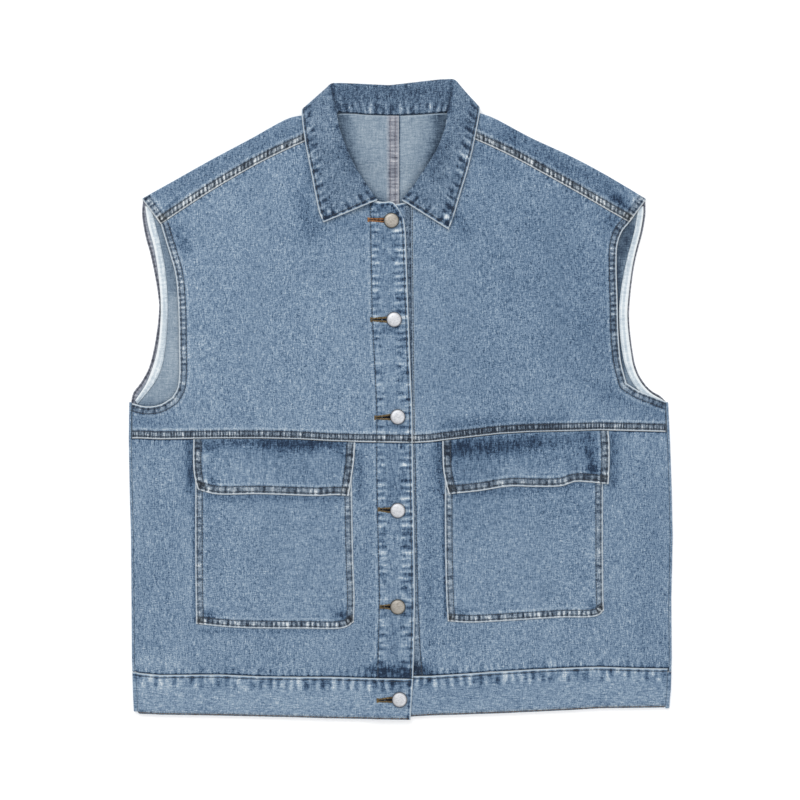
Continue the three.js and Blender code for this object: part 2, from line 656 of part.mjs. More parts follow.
// Hem band behind, turned up at both sides to meet the bands of the fronts.
function backBand() {
  const levels = [0, 0.15, 0.78, 1];
  const columns = 14;
  const head = backBandSeam - seamGap;
  const rings = (key, sign, cross) => levels.map((up) => {
    const foot = read(cross, 'x', 'hem', sign * halfWidth) - 1;
    const y = THREE.MathUtils.lerp(foot, head, up);
    const x = read(sides, 'y', key, y);
    const top = frontLay(x, y) + bandPly / 2;
    const ring = halfTurn(point(x, y), point(sign, 0), bandPly / 2, top, bandPly);
    ring.push(new THREE.Vector3(x - sign * bandTurn, y, top));
    return ring;
  });
  const right = rings('right', -1, rightCross);
  const left = rings('left', 1, leftCross);
  const from = right[0][0].x;
  const to = left[0][0].x;
  const flat = levels.map((up, j) => {
    const line = [right[j][0]];
    for (let i = 1; i < columns; i += 1) {
      const x = THREE.MathUtils.lerp(from, to, i / columns);
      const cross = x < 0 ? rightCross : leftCross;
      const foot = read(cross, 'x', 'hem', x) + 1;
      const y = THREE.MathUtils.lerp(foot, head, up);
      line.push(new THREE.Vector3(x, y, bandPly / 2));
    }
    line.push(left[j][0]);
    return line;
  });
  const sheet = new Sheet();
  sheet.add(flat);
  sheet.add(flipped(right));
  sheet.add(left);
  return turnedWall(sheet, () => bandPly / 2, () => bandPly / 2);
}

// The collar: a folded band swept round the neck.
const collarSteps = 13;
const rollRise = 1.6;
const fallCrown = 0.8;

function collarSection(row) {
  const lay = row.footX < neckMiddle ? rightLay : frontLay;
  const foot = point(row.footX, row.footY);
  const roll = point(row.rollX, row.rollY);
  const edge = point(row.edgeX, row.edgeY);
  const onStand = foot.clone().lerp(roll, 0.6);
  const onTurn = roll.clone().lerp(edge, 0.1);
  const onFall = roll.clone().lerp(edge, 0.5);
  const half = collarPly / 2;
  const standUp = lay(foot.x, foot.y) + half;
  const standDown = backMiddle(foot.x, foot.y);
  const fallRest = seamPly + 2 * layGap + half;
  const fallUp = (spot, rise) => lay(spot.x, spot.y) + fallRest + rise;
  const shape = [
    { spot: foot, up: standUp, down: standDown },
    { spot: onStand, up: standUp, down: standDown + rollRise },
    { spot: roll, up: standUp + (fallRest + rollRise) / 2, down: (standDown + rollRise + half) / 2 },
    { spot: onTurn, up: fallUp(roll, rollRise), down: half },
    { spot: onFall, up: fallUp(onFall, fallCrown), down: half },
    { spot: edge, up: fallUp(edge, 0), down: half },
  ];
  const places = shape.map(({ spot, up, down }) => raised(spot, THREE.MathUtils.lerp(down, up, row.over)));
  const curve = new THREE.CatmullRomCurve3(places, false, 'centripetal');
  return curve.getPoints(collarSteps).map((spot) => new THREE.Vector3(spot.x, spot.y, Math.max(spot.z, half)));
}

function collar() {
  const sheet = new Sheet();
  sheet.add(collarSections.map(collarSection));
  const half = collarPly / 2;
  return turnedWall(sheet, () => half, () => half);
}

// Pocket bag and flap, laid on the front below the chest seam.
function pocketBag(side) {
  const { pocket, lay } = side;
  const left = along(pocket.bagLeft, 7);
  const right = along(pocket.bagRight, 7);
  const foot = along(pocket.bagFoot, 10);
  const head = between(left[7], right[7], foot.map((_, i) => i / 10));
  const sheet = new Sheet();
  sheet.add(patch(foot, head, left, right));
  return laidWall(sheet, (x, y) => lay(x, y) + clothPly + layGap, () => bagPly);
}

function pocketFlap(side) {
  const { pocket, cross, lay } = side;
  const chest = (x) => read(cross, 'x', 'chest', x) - seamGap;
  const foot = along(pocket.flapFoot, 12);
  const left = along(pocket.flapLeft, 4);
  const right = along(pocket.flapRight, 4);
  const head = foot.map((_, i) => {
    const x = THREE.MathUtils.lerp(left[4].x, right[4].x, i / 12);
    return point(x, chest(x));
  });
  left[4] = head[0];
  right[4] = head[12];
  const rise = (x, y) => (bagPly + layGap) * smooth((chest(x) - y) / flapSettle);
  const sheet = new Sheet();
  sheet.add(patch(foot, head, left, right));
  return laidWall(sheet, (x, y) => lay(x, y) + clothPly + layGap + rise(x, y), () => flapPly);
}

// White tape bound inside the back armhole.
function armholeTape(side) {
  const outer = along(side.curves.tapeOuter, 14);
  const inner = along(side.curves.tapeInner, 14);
  const grid = outer.map((spot, i) => (side.turned ? [inner[i], spot] : [spot, inner[i]]));
  const sheet = new Sheet();
  sheet.add(grid);
  return laidWall(sheet, (x, y) => backRest(x, y) + clothPly + layGap, () => tapePly);
}

function solidOf(geometry) {
  const bare = geometry.clone();
  bare.deleteAttribute('normal');
  bare.deleteAttribute('uv');
  const merged = mergeVertices(bare, 1e-4);
  return new wasm.Manifold(new wasm.Mesh({
    numProp: 3,
    vertProperties: new Float32Array(merged.attributes.position.array),
    triVerts: new Uint32Array(merged.index.array),
  }));
}

function geometryOf(solid) {
  const mesh = solid.getMesh();
  const geometry = new THREE.BufferGeometry();
  geometry.setAttribute('position', new THREE.BufferAttribute(new Float32Array(mesh.vertProperties), 3));
  geometry.setIndex([...mesh.triVerts]);
  return geometry;
}

// Buttonholes, pulled open to a wedge round the shank of their button.
function cutButtonholes(geometry, list) {
  let solid = solidOf(geometry);
  for (const { x, y, holeX, holeY } of list) {
    const wedge = new THREE.Shape([
      point(holeX, holeY - holeTip),
      point(x, y - holeMouth),
      point(x + holePast, y - holeMouth / 2),
      point(x + holePast, y + holeMouth / 2),
      point(x, y + holeMouth),
      point(holeX, holeY + holeTip),
    ]);
    const cutter = new THREE.ExtrudeGeometry(wedge, { depth: 40, bevelEnabled: false, curveSegments: 1 });
    solid = solid.subtract(solidOf(cutter));
  }
  return geometryOf(solid);
}

// Tack button: a crowned cap on a shank that goes down through the buttonhole to the front below.
function tackButton({ x, y }, topPly, lowPly) {
  const low = frontLay(x, y) + lowPly + layGap;
  const seat = rightLay(x, y) + topPly + layGap;
  const crown = [
    { r: 0, z: low },
    { r: shankRadius, z: low },
    { r: shankRadius, z: seat },
    { r: buttonRadius - 0.9, z: seat },
    { r: buttonRadius, z: seat + 0.7 },
    { r: buttonRadius - 0.1, z: seat + 1.5 },
    { r: buttonRadius - 0.9, z: seat + 2.1 },
    { r: buttonRadius - 1.6, z: seat + 2.2 },
    { r: buttonRadius * 0.5, z: seat + 2.8 },
    { r: 0, z: seat + capHeight },
  ];
  const geometry = new THREE.LatheGeometry(crown.map(({ r, z }) => point(r, z)), buttonSegments);
  geometry.rotateX(Math.PI / 2);
  geometry.translate(x, y, 0);
  return geometryOf(solidOf(geometry));
}

const rightSide = {
  key: 'right',
  turned: false,
  cross: rightCross,
  curves: rightCurves,
  pocket: rightPocket,
  line: 'upperLine',
  edge: 'upperEdge',
  bandEnd: { top: 14, hem: 11 },
  lay: rightLay,
  seam: backSeam - seamGap / 2,
};
const leftSide = {
  key: 'left',
  turned: true,
  cross: leftCross,
  curves: leftCurves,
  pocket: leftPocket,
  line: 'lowerLine',
  edge: 'lowerEdge',
  bandEnd: { top: -18, hem: -18 },
  lay: frontLay,
  seam: backSeam + seamGap / 2,
};

const vest = new THREE.Group();

function addPiece(name, geometry, colour, roughness, metalness) {
  geometry.computeVertexNormals();
  const material = new THREE.MeshStandardMaterial({ color: colour, roughness, metalness });
  const mesh = new THREE.Mesh(geometry, material);
  mesh.name = name;
  vest.add(mesh);
}

const addCloth = (name, geometry, colour = colours.denim) => addPiece(name, geometry, colour, 0.9, 0);

for (const side of [rightSide, leftSide]) {
  const holes = side === rightSide ? buttons : [];
  const upperHoles = holes.slice(0, 3);
  const lowerHoles = holes.slice(3, 5);
  const bandHoles = holes.slice(5);
  addCloth(`back_${side.key}`, backHalf(side));
  addCloth(`front_upper_${side.key}`, cutButtonholes(frontUpper(side), upperHoles));
  addCloth(`front_lower_${side.key}`, cutButtonholes(frontLower(side), lowerHoles));
  addCloth(`hem_band_${side.key}`, cutButtonholes(frontBand(side), bandHoles));
  addCloth(`pocket_bag_${side.key}`, pocketBag(side));
  addCloth(`pocket_flap_${side.key}`, pocketFlap(side));
  addCloth(`armhole_tape_${side.key}`, armholeTape(side), colours.tape);
}
addCloth('hem_band_back', backBand());
addCloth('collar', collar());
buttons.forEach((button, i) => {
  const onBand = i === buttons.length - 1;
  const ply = onBand ? bandPly : seamPly;
  addPiece(`button_${i + 1}`, tackButton(button, ply, ply), colours.metal, 0.35, 1);
});

export default vest;
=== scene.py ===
import math

import bpy
import numpy as np
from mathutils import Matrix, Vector
from mathutils.geometry import delaunay_2d_cdt


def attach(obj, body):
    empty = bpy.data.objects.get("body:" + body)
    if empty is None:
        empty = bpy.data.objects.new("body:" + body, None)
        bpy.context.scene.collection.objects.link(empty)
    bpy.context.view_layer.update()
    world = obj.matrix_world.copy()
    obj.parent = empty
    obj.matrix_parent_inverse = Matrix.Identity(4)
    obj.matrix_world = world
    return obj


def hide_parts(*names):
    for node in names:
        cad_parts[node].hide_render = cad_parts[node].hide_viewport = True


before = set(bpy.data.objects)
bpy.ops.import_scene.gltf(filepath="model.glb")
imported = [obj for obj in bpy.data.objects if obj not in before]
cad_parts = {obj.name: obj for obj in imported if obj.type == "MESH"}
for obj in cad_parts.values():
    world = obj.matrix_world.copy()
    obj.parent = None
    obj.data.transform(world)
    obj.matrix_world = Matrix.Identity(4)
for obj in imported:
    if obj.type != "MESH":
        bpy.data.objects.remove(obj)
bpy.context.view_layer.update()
print("frame loaded")

# All tables are in millimetres. The wearer's right side is at -X, and the collar at +Y.
mm = 0.001
cloth = {"ply": 1.2, "seam": 2.2, "band": 2.4, "flap": 1.8, "bag": 1.1, "tape": 0.9, "collar": 2.0}
lay = {"gap": 0.4, "seamGap": 0.3, "front": 3.0, "loft": 0.9, "wave": 0.25, "half": 300}
neck = {"lift": 2.8, "middle": -11, "half": 102, "depth": 272, "corner": 312, "reach": 27, "ramp": 20}
lap = {"lift": 2.8, "start": -46, "full": -27}
fell = {"width": 9, "step": 2}

# Outline at the sides: y, right, left
sides = np.array([
    (-341, -294, 296), (-318, -295, 298), (-285, -296, 299), (-219, -296.5, 298.5), (-150, -297, 300),
    (-100, -298.5, 299), (-43, -299.5, 297), (-2, -299, 295),
])
# Button stands: y, stitched line and edge of the upper front, edge and stitched line of the lower one
stands = np.array([
    (-303, -25, 14, -18, 24), (-274, -24.5, 15, -18, 21.5), (-219, -23, 16, -19, 19),
    (-175, -24, 15.5, -19.5, 18), (-87, -26, 14, -20.5, 16.5), (-10, -26, 13, -21, 15),
    (34, -28, 11, -21, 14.5), (89, -31, 9, -21, 14), (177, -32.5, 6, -23, 13), (222, -33, 4, -23, 13),
])
standColumn = {"upperLine": 1, "upperEdge": 2, "lowerEdge": 3, "lowerLine": 4}
# Seams across the body: x, chest seam, seam of the hem band, edge of the hem
rightCross = np.array([
    (-299, -42, -297, -341.5), (-287, -42, -300, -345), (-265, -43, -302, -346), (-199, -42, -301.5, -347),
    (-155, -42, -303.5, -348), (-111, -43, -304, -349), (-78, -45, -304, -350), (-45, -46, -305, -350.5),
    (16, -47, -306, -351.5),
])
leftCross = np.array([
    (-24, -47, -303, -349), (14, -47, -303, -348), (32, -46, -303, -347), (65, -42, -301, -346),
    (109, -37, -298, -344.5), (142, -35, -296, -343), (186, -34, -294, -341), (219, -33, -293, -339),
    (263, -34, -294.5, -338.5), (300, -35, -295, -338),
])
crossColumn = {"chest": 1, "band": 2, "hem": 3}

rightSide = {
    "key": "right", "sign": -1, "tapeShade": -0.2, "cross": rightCross, "line": "upperLine", "edge": "upperEdge",
    "bandTop": 14, "bandHem": 11,
    "armholeFloor": [(-295.5, -3), (-280, -6.5), (-265, -4.5), (-252, 3)],
    "frontArmhole": [(-252, 3), (-246, 13), (-243.8, 30), (-244, 56), (-245, 106), (-248, 139), (-254, 161), (-259, 177),
                     (-264, 194)],
    "shoulderSeam": [(-264, 194), (-225, 220), (-193, 240), (-158, 260), (-130, 274), (-107, 284.5), (-79, 298)],
    "frontNeck": [(-33, 222), (-45, 231), (-60, 249), (-71, 273), (-79, 298)],
    "standTop": [(-33, 222), (-21, 218.5), (-9, 218.5), (-1, 209.5), (4, 199)],
    "backArmhole": [(-296.8, 0), (-294.8, 8), (-286.6, 19), (-278, 34.5), (-271.5, 58.5), (-266.3, 98), (-267, 115),
                    (-275.6, 161), (-281, 180.5), (-285, 206), (-284, 218)],
    "shoulderFold": [(-73, 318.5), (-90, 317.5), (-106, 314.5), (-124, 310.5), (-165, 288.5), (-210, 264.5),
                     (-250, 242), (-285, 222.5)],
    "backNeck": [(-34, 314.5), (-54, 316), (-73, 317)],
    "tapeOuter": [(-292.5, 0), (-281, 17.5), (-271.8, 41), (-267, 62), (-264.5, 90), (-264.5, 112), (-267, 139),
                  (-271.5, 167), (-278.5, 194), (-281.5, 214)],
    "tapeInner": [(-290, -4), (-277.5, 11), (-268.5, 24), (-262, 42), (-258, 70), (-256.6, 95), (-256.9, 117),
                  (-259.4, 145), (-264.5, 172), (-271, 197), (-275, 214)],
    "bagLeft": [(-225, -246), (-225.5, -219), (-226, -175), (-226, -60)],
    "bagRight": [(-51.5, -244), (-50.5, -219), (-52, -175), (-54, -60)],
    "bagFoot": [(-225, -246), (-182, -250), (-111, -251), (-61, -250), (-51.5, -244)],
    "flapLeft": [(-223, -98), (-226, -88), (-228, -74), (-228, -44)],
    "flapRight": [(-57, -105), (-54, -87), (-51, -65), (-50, -46)],
    "flapFoot": [(-223, -98), (-204, -103), (-155, -103), (-89, -105), (-72, -104), (-57, -105)],
}
leftSide = {
    "key": "left", "sign": 1, "tapeShade": -0.14, "cross": leftCross, "line": "lowerLine", "edge": "lowerEdge",
    "bandTop": -18, "bandHem": -18,
    "armholeFloor": [(292, -1), (277, 5), (262, 11), (249, 19)],
    "frontArmhole": [(249, 19), (243, 42), (240, 75), (239, 111), (238, 150), (239, 172), (244, 186), (252, 196)],
    "shoulderSeam": [(252, 196), (230, 208.5), (199, 226.5), (157, 250), (123, 268.5), (81, 288), (63, 295.5)],
    "frontNeck": [(13, 224), (25, 232), (39, 249), (52, 271), (63, 295.5)],
    "standTop": [(13, 224), (4, 218), (-6, 216), (-15, 214), (-23, 208)],
    "backArmhole": [(292.8, 0), (287, 4.4), (276.9, 10.5), (267.2, 21), (259.7, 36), (255.5, 56), (252, 89), (252.4, 106),
                    (257.8, 150), (267.2, 188), (270, 206), (270, 217)],
    "shoulderFold": [(55, 319), (70, 320), (84, 317.5), (104, 310.5), (143, 290), (185, 270.5), (215, 255),
                     (242, 239.5), (271, 222)],
    "backNeck": [(18, 314.5), (38, 316), (55, 317)],
    "tapeOuter": [(289.5, 0.5), (275.3, 9), (265.3, 19.8), (257.8, 35), (253.5, 57), (250.2, 89), (250.6, 106),
                  (256, 150), (265, 188), (267.8, 206), (267.8, 214)],
    "tapeInner": [(284.5, -5), (270.5, 3.5), (258.6, 15.7), (249.4, 33), (243.9, 56), (241.2, 84), (241.2, 106),
                  (244.8, 133), (250.6, 160), (258, 188), (262, 214)],
    "bagLeft": [(52, -243), (50.5, -219), (49, -153), (49, -60)],
    "bagRight": [(224, -231), (223.5, -219), (223, -175), (223, -55)],
    "bagFoot": [(52, -243), (76, -244.5), (109, -243), (175, -239), (217, -237), (224, -231)],
    "flapLeft": [(53, -103), (50, -92), (47, -76), (46, -46)],
    "flapRight": [(229, -92), (230, -70), (230, -48), (229, -35)],
    "flapFoot": [(53, -103), (87, -99.5), (120, -94.5), (150, -95), (178, -94), (192, -89.5), (208, -90),
                 (229, -92)],
}
# Buttons: x, y, and the far end of the buttonhole
buttons = [
    (-10, 198, -35, 199), (-7, 89, -32, 89), (-3, -18, -27.5, -19), (-3, -121, -24, -120), (-3, -227, -22, -227),
    (-1, -329, -25, -330),
]
# The collar's sections: foot, roll and edge, and how far the fall lies over the front
collarRows = np.array([
    (-30, 223, -26, 220, -85, 196, 1), (-43, 233, -37, 236, -90, 208, 1), (-57, 248, -50, 256, -94, 228, 1),
    (-69, 271, -60, 277, -99, 254, 1), (-76, 297, -68, 299, -104, 279, 1), (-71, 310, -72, 321, -107, 298, 1),
    (-69.5, 316.5, -76, 338, -108.5, 313, 0.9), (-68.5, 318.5, -79, 347, -108.5, 322, 0.5),
    (-65, 317.6, -74, 349, -103, 321, 0.08), (-58, 317, -64, 349, -88, 302, 0),
    (-38, 315.6, -42, 348, -54, 287, 0), (-10, 314.6, -12, 346.5, -12, 282, 0),
    (20, 315.6, 22, 350.5, 32, 287, 0), (40, 317, 44, 353, 66, 302, 0), (48, 317.6, 57.5, 353.5, 81, 322, 0.08),
    (51, 318.5, 63, 350.5, 87, 324, 0.5), (52, 316.5, 57, 338, 87, 315, 0.9), (54, 310, 53, 321, 84, 299, 1),
    (60, 295, 50, 300, 80, 279, 1), (50, 270, 42, 278, 74, 254, 1), (37, 249, 29, 257, 66, 228, 1),
    (23, 233, 15, 236, 59, 204, 1), (10, 224, 2, 220, 53, 188, 1),
])


def smooth(share):
    share = np.clip(share, 0, 1)
    return share * share * (3 - 2 * share)


# How high the back and the fronts lie, as they are cut in the solids
def backRest(x, y):
    across = np.abs(x - neck["middle"])
    inside = np.minimum(across, neck["half"])
    edge = neck["depth"] + (neck["corner"] - neck["depth"]) * (inside / neck["half"]) ** 2.2
    away = np.hypot(across - inside, np.maximum(edge - y, 0))
    return neck["lift"] * smooth((neck["reach"] - away) / neck["ramp"])


def frontLay(x, y):
    middle = np.maximum(0, 1 - (x / lay["half"]) ** 2)
    waves = np.sin(x / 34 + y / 120) + 0.6 * np.sin(y / 47 - x / 90 + 1)
    return lay["front"] + middle * (lay["loft"] + lay["wave"] * waves) + backRest(x, y)


def rightLay(x, y):
    return frontLay(x, y) + lap["lift"] * np.clip((x - lap["start"]) / (lap["full"] - lap["start"]), 0, 1)


rightSide["lay"] = rightLay
leftSide["lay"] = frontLay


def crossAt(side, name, x):
    return np.interp(x, side["cross"][:, 0], side["cross"][:, crossColumn[name]])


def standAt(name, y):
    return np.interp(y, stands[:, 0], stands[:, standColumn[name]])


def sideAt(side, y):
    return np.interp(y, sides[:, 0], sides[:, 1 if side["key"] == "right" else 2])


# Lines: a smooth one through points, at even steps, and an even one along a broken line
def evenly(points, pitch, count=None):
    points = np.asarray(points, float)
    runs = np.concatenate([[0], np.cumsum(np.linalg.norm(np.diff(points, axis=0), axis=1))])
    count = count or max(int(round(runs[-1] / pitch)), 1)
    wanted = np.linspace(0, runs[-1], count + 1)
    return np.stack([np.interp(wanted, runs, points[:, k]) for k in range(points.shape[1])], axis=1)


def softly(points, samples=14):
    points = np.asarray(points, float)
    first = 2 * points[0] - points[1]
    last = 2 * points[-1] - points[-2]
    padded = np.vstack([first, points, last])
    drawn = [points[0]]
    for i in range(1, len(padded) - 2):
        p0, p1, p2, p3 = padded[i - 1 : i + 3]
        steps = [max(np.linalg.norm(b - a), 1e-6) ** 0.5 for a, b in ((p0, p1), (p1, p2), (p2, p3))]
        t0, t1 = 0, steps[0]
        t2, t3 = t1 + steps[1], t1 + steps[1] + steps[2]
        for t in np.linspace(t1, t2, samples + 1)[1:]:
            a1 = (t1 - t) / (t1 - t0) * p0 + (t - t0) / (t1 - t0) * p1
            a2 = (t2 - t) / (t2 - t1) * p1 + (t - t1) / (t2 - t1) * p2
            a3 = (t3 - t) / (t3 - t2) * p2 + (t - t2) / (t3 - t2) * p3
            b1 = (t2 - t) / (t2 - t0) * a1 + (t - t0) / (t2 - t0) * a2
            b2 = (t3 - t) / (t3 - t1) * a2 + (t - t1) / (t3 - t1) * a3
            drawn.append((t2 - t) / (t2 - t1) * b1 + (t - t1) / (t2 - t1) * b2)
    return np.array(drawn)


def joined(lines):
    points = np.vstack(lines)
    kept = [0]
    for i in range(1, len(points)):
        if np.linalg.norm(points[i] - points[kept[-1]]) > 0.05:
            kept.append(i)
    points = points[kept]
    if np.linalg.norm(points[0] - points[-1]) < 0.05:
        points = points[:-1]
    x, y = points[:, 0], points[:, 1]
    turned = np.sum(x * np.roll(y, -1) - np.roll(x, -1) * y) < 0
    return points[::-1] if turned else points


def shifted(line, away):
    run = np.gradient(line[:, :2], axis=0)
    run /= np.maximum(np.linalg.norm(run, axis=1, keepdims=True), 1e-9)
    return line[:, :2] + away * np.stack([-run[:, 1], run[:, 0]], axis=1)


def nearLine(line, x, y):
    starts = line[:-1]
    runs = line[1:] - starts
    lengths = np.maximum(np.linalg.norm(runs, axis=1), 1e-9)
    before = np.concatenate([[0], np.cumsum(lengths)])[:-1]
    away = np.full(x.shape, 1e9)
    along = np.zeros(x.shape)
    for part in range(0, len(starts), 40):
        s, r, n, b = (value[part : part + 40] for value in (starts, runs, lengths, before))
        dx, dy = x[:, None] - s[:, 0], y[:, None] - s[:, 1]
        share = np.clip((dx * r[:, 0] + dy * r[:, 1]) / n**2, 0, 1)
        far = np.hypot(dx - share * r[:, 0], dy - share * r[:, 1])
        best = np.argmin(far, axis=1)
        rows = np.arange(len(x))
        closer = far[rows, best] < away
        away = np.where(closer, far[rows, best], away)
        along = np.where(closer, b[best] + share[rows, best] * n[best], along)
    return away, along


def insideOf(outline, x, y):
    inside = np.zeros(x.shape, bool)
    ahead = np.roll(outline, -1, axis=0)
    for (x0, y0), (x1, y1) in zip(outline, ahead):
        if y0 == y1:
            continue
        crosses = (y0 > y) != (y1 > y)
        inside ^= crosses & (x < (x1 - x0) * (y - y0) / (y1 - y0) + x0)
    return inside


# Washes, painted shade and highlight, and folds: each is a soft stroke between two points, with its width and its value
def strokes(rows, x, y):
    total = np.zeros(x.shape)
    for x0, y0, x1, y1, width, value in rows:
        away, _ = nearLine(np.array([(x0, y0), (x1, y1)], float), x, y)
        total += value * np.exp(-((away / width) ** 2))
    return total


# How a piece of cloth lies at a point: its seams in two families, so that corners have both
def seamFields(seams, x, y):
    closest = np.full(x.shape, 1e9)
    names = ("turns", "pucker", "edge", "relief", "first", "second", "groove", "grime", "tone")
    fields = {name: np.zeros(x.shape) for name in names}
    fields["away"] = np.full(x.shape, 99.0)
    for seam in seams:
        away, along = nearLine(seam["line"], x, y)
        share = away / seam["reach"]
        closer = share < closest
        closest = np.where(closer, share, closest)
        window = 1 - smooth((share - 0.75) / 0.5)
        if "only" in seam:
            window = window * seam["only"](x, y)
        rows = [row(x, y) if callable(row) else row for row in seam.get("rows", [])]
        rows = rows + [-9.0] * (2 - len(rows))
        values = {
            "turns": along / seam["period"] + seam.get("slant", 0) * away,
            "away": away,
            "pucker": seam["pucker"] * window,
            "edge": np.full(x.shape, float(seam.get("edge", 0))),
            "relief": seam.get("relief", 0) * window,
            "first": rows[0] * np.ones(x.shape),
            "second": rows[1] * np.ones(x.shape),
            "groove": np.full(x.shape, float(seam.get("groove", 0.8))),
            "grime": seam.get("grime", 0) * window,
            "tone": seam.get("tone", 0) * window,
        }
        for name, value in values.items():
            fields[name] = np.where(closer, value, fields[name])
    return fields


def puckered(fields):
    turns = fields["turns"]
    swell = np.sin(2 * math.pi * turns + 1.3 * np.sin(1.9 * turns)) + 0.5 * np.sin(4.4 * turns + 1)
    return fields["relief"] * swell * (1 - np.exp(-fields["away"] / 2))


def topOf(piece, x, y):
    top = piece["rest"](x, y) + piece["ply"](x, y)
    for family in ("across", "upright"):
        if piece[family]:
            top = top + puckered(seamFields(piece[family], x, y))
    return top + strokes(piece.get("folds", []), x, y)


def closedWall(first, second, faces):
    count = len(first)
    runs = np.vstack([faces[:, [0, 1]], faces[:, [1, 2]], faces[:, [2, 0]]])
    ahead = runs[:, 0].astype(np.int64) * count + runs[:, 1]
    back = runs[:, 1].astype(np.int64) * count + runs[:, 0]
    rim = runs[~np.isin(back, ahead)]
    a, b = rim[:, 0], rim[:, 1]
    sides = np.vstack([np.stack([b, a, a + count], 1), np.stack([b, a + count, b + count], 1)])
    return np.vstack([first, second]), faces, faces[:, ::-1] + count, sides


def makeMesh(name, points, faces, marks=None, looks=None):
    mesh = bpy.data.meshes.new(name)
    mesh.vertices.add(len(points))
    mesh.vertices.foreach_set("co", (np.asarray(points, np.float32) * mm).ravel())
    mesh.loops.add(faces.size)
    mesh.loops.foreach_set("vertex_index", faces.astype(np.int32).ravel())
    mesh.polygons.add(len(faces))
    mesh.polygons.foreach_set("loop_start", np.arange(0, faces.size, 3, dtype=np.int32))
    mesh.update(calc_edges=True)
    mesh.polygons.foreach_set("use_smooth", np.ones(len(faces), bool))
    for mark, value in (marks or {}).items():
        if value.ndim == 2:
            layer = mesh.color_attributes.new(name=mark, type="FLOAT_COLOR", domain="POINT")
            layer.data.foreach_set("color", value.astype(np.float32).ravel())
        else:
            layer = mesh.attributes.new(name=mark, type="FLOAT", domain="POINT")
            layer.data.foreach_set("value", value.astype(np.float32))
    if looks is not None:
        mesh.polygons.foreach_set("material_index", looks.astype(np.int32))
    mesh.validate()
    made = bpy.data.objects.new(name, mesh)
    bpy.context.scene.collection.objects.link(made)
    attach(made, "root")
    return made


def seamMarks(piece, x, y, copies=2):
    marks = {}
    # Washes with painted shade and highlight from the strokes, and the seams' tones
    shade = strokes(piece.get("washAndShade", []), x, y) + piece.get("tone", 0)
    for family in ("across", "upright"):
        fields = seamFields(piece[family], x, y)
        shade = shade + fields["tone"]
        block = np.stack([fields["turns"], fields["away"], fields["pucker"], fields["edge"]], axis=1)
        rows = np.stack([fields["first"], fields["second"], fields["groove"], fields["grime"]], axis=1)
        marks[family] = np.vstack([block] * copies)
        marks[family + "Rows"] = np.vstack([rows] * copies)
    marks["shade"] = np.concatenate([shade] * copies)
    return marks


# A flat mesh inside an outline, with its holes, whose points follow the outline and fill the middle evenly
def filled(outline, holes, cell, seed):
    dice = np.random.default_rng(seed)
    low, high = outline.min(axis=0), outline.max(axis=0)
    rows = np.arange(low[1], high[1] + cell, cell * 0.87)
    grid = []
    for i, y in enumerate(rows):
        xs = np.arange(low[0] + (i % 2) * cell / 2, high[0] + cell, cell)
        grid.append(np.stack([xs, np.full(xs.shape, y)], axis=1))
    grid = np.vstack(grid)
    grid += dice.uniform(-0.12, 0.12, grid.shape) * cell
    loops = [outline, *holes]
    keep = insideOf(outline, grid[:, 0], grid[:, 1])
    for hole in holes:
        keep &= ~insideOf(hole, grid[:, 0], grid[:, 1])
    grid = grid[keep]
    rings = []
    for k, loop in enumerate(loops):
        closed = np.vstack([loop, loop[:1]])
        away, _ = nearLine(closed, grid[:, 0], grid[:, 1])
        grid = grid[away > 0.8 + 0.45 * cell]
        inner = shifted(evenly(closed, cell), 0.8 if k == 0 else -0.8)[:-1]
        away, _ = nearLine(closed, inner[:, 0], inner[:, 1])
        sound = insideOf(outline, inner[:, 0], inner[:, 1]) & (away > 0.6)
        rings.append(inner[sound])
    edges, start = [], 0
    for loop in loops:
        count = len(loop)
        edges += [(start + i, start + (i + 1) % count) for i in range(count)]
        start += count
    flat = np.vstack([*loops, *rings, grid])
    made = delaunay_2d_cdt([Vector(p) for p in flat.tolist()], edges, [], 0, 1e-5)
    points = np.array([(v.x, v.y) for v in made[0]])
    faces = np.array([f for f in made[2] if len(f) == 3])
    middle = points[faces].mean(axis=1)
    keep = insideOf(outline, middle[:, 0], middle[:, 1])
    for hole in holes:
        keep &= ~insideOf(hole, middle[:, 0], middle[:, 1])
    faces = faces[keep]
    a, b, c = (points[faces[:, k]] for k in range(3))
    area = (b[:, 0] - a[:, 0]) * (c[:, 1] - a[:, 1]) - (b[:, 1] - a[:, 1]) * (c[:, 0] - a[:, 0])
    faces[area < 0] = faces[area < 0][:, ::-1]
    return points, faces[np.abs(area) > 1e-4]


def laidSheet(piece):
    points, faces = filled(piece["outline"], piece.get("holes", []), piece["cell"], piece["seed"])
    x, y = points[:, 0], points[:, 1]
    top = topOf(piece, x, y)
    rim = np.full(x.shape, 1e9)
    for loop in (piece["outline"], *piece.get("holes", [])):
        away, _ = nearLine(np.vstack([loop, loop[:1]]), x, y)
        rim = np.minimum(rim, away)
    top -= 0.3 * piece["ply"](x, y) * (rim < 0.3)
    first = np.column_stack([x, y, top])
    second = np.column_stack([x, y, piece["rest"](x, y)])
    walls, upper, lower, sides = closedWall(first, second, faces)
    looks = np.repeat([0, 1, 0], [len(upper), len(lower), len(sides)])
    made = makeMesh(piece["name"], walls, np.vstack([upper, lower, sides]), seamMarks(piece, x, y), looks)
    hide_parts(piece["name"])
    for look in piece["looks"]:
        made.data.materials.append(look)
    a, b, c = (points[faces[:, k]] for k in range(3))
    area = np.abs((b[:, 0] - a[:, 0]) * (c[:, 1] - a[:, 1]) - (b[:, 1] - a[:, 1]) * (c[:, 0] - a[:, 0])).sum() / 2
    size = points.max(axis=0) - points.min(axis=0)
    print(f"  {piece['name']}: {len(made.data.polygons)} faces, {size[0]:.0f} x {size[1]:.0f} mm, {area / 1e6:.4f} m2")
    return made


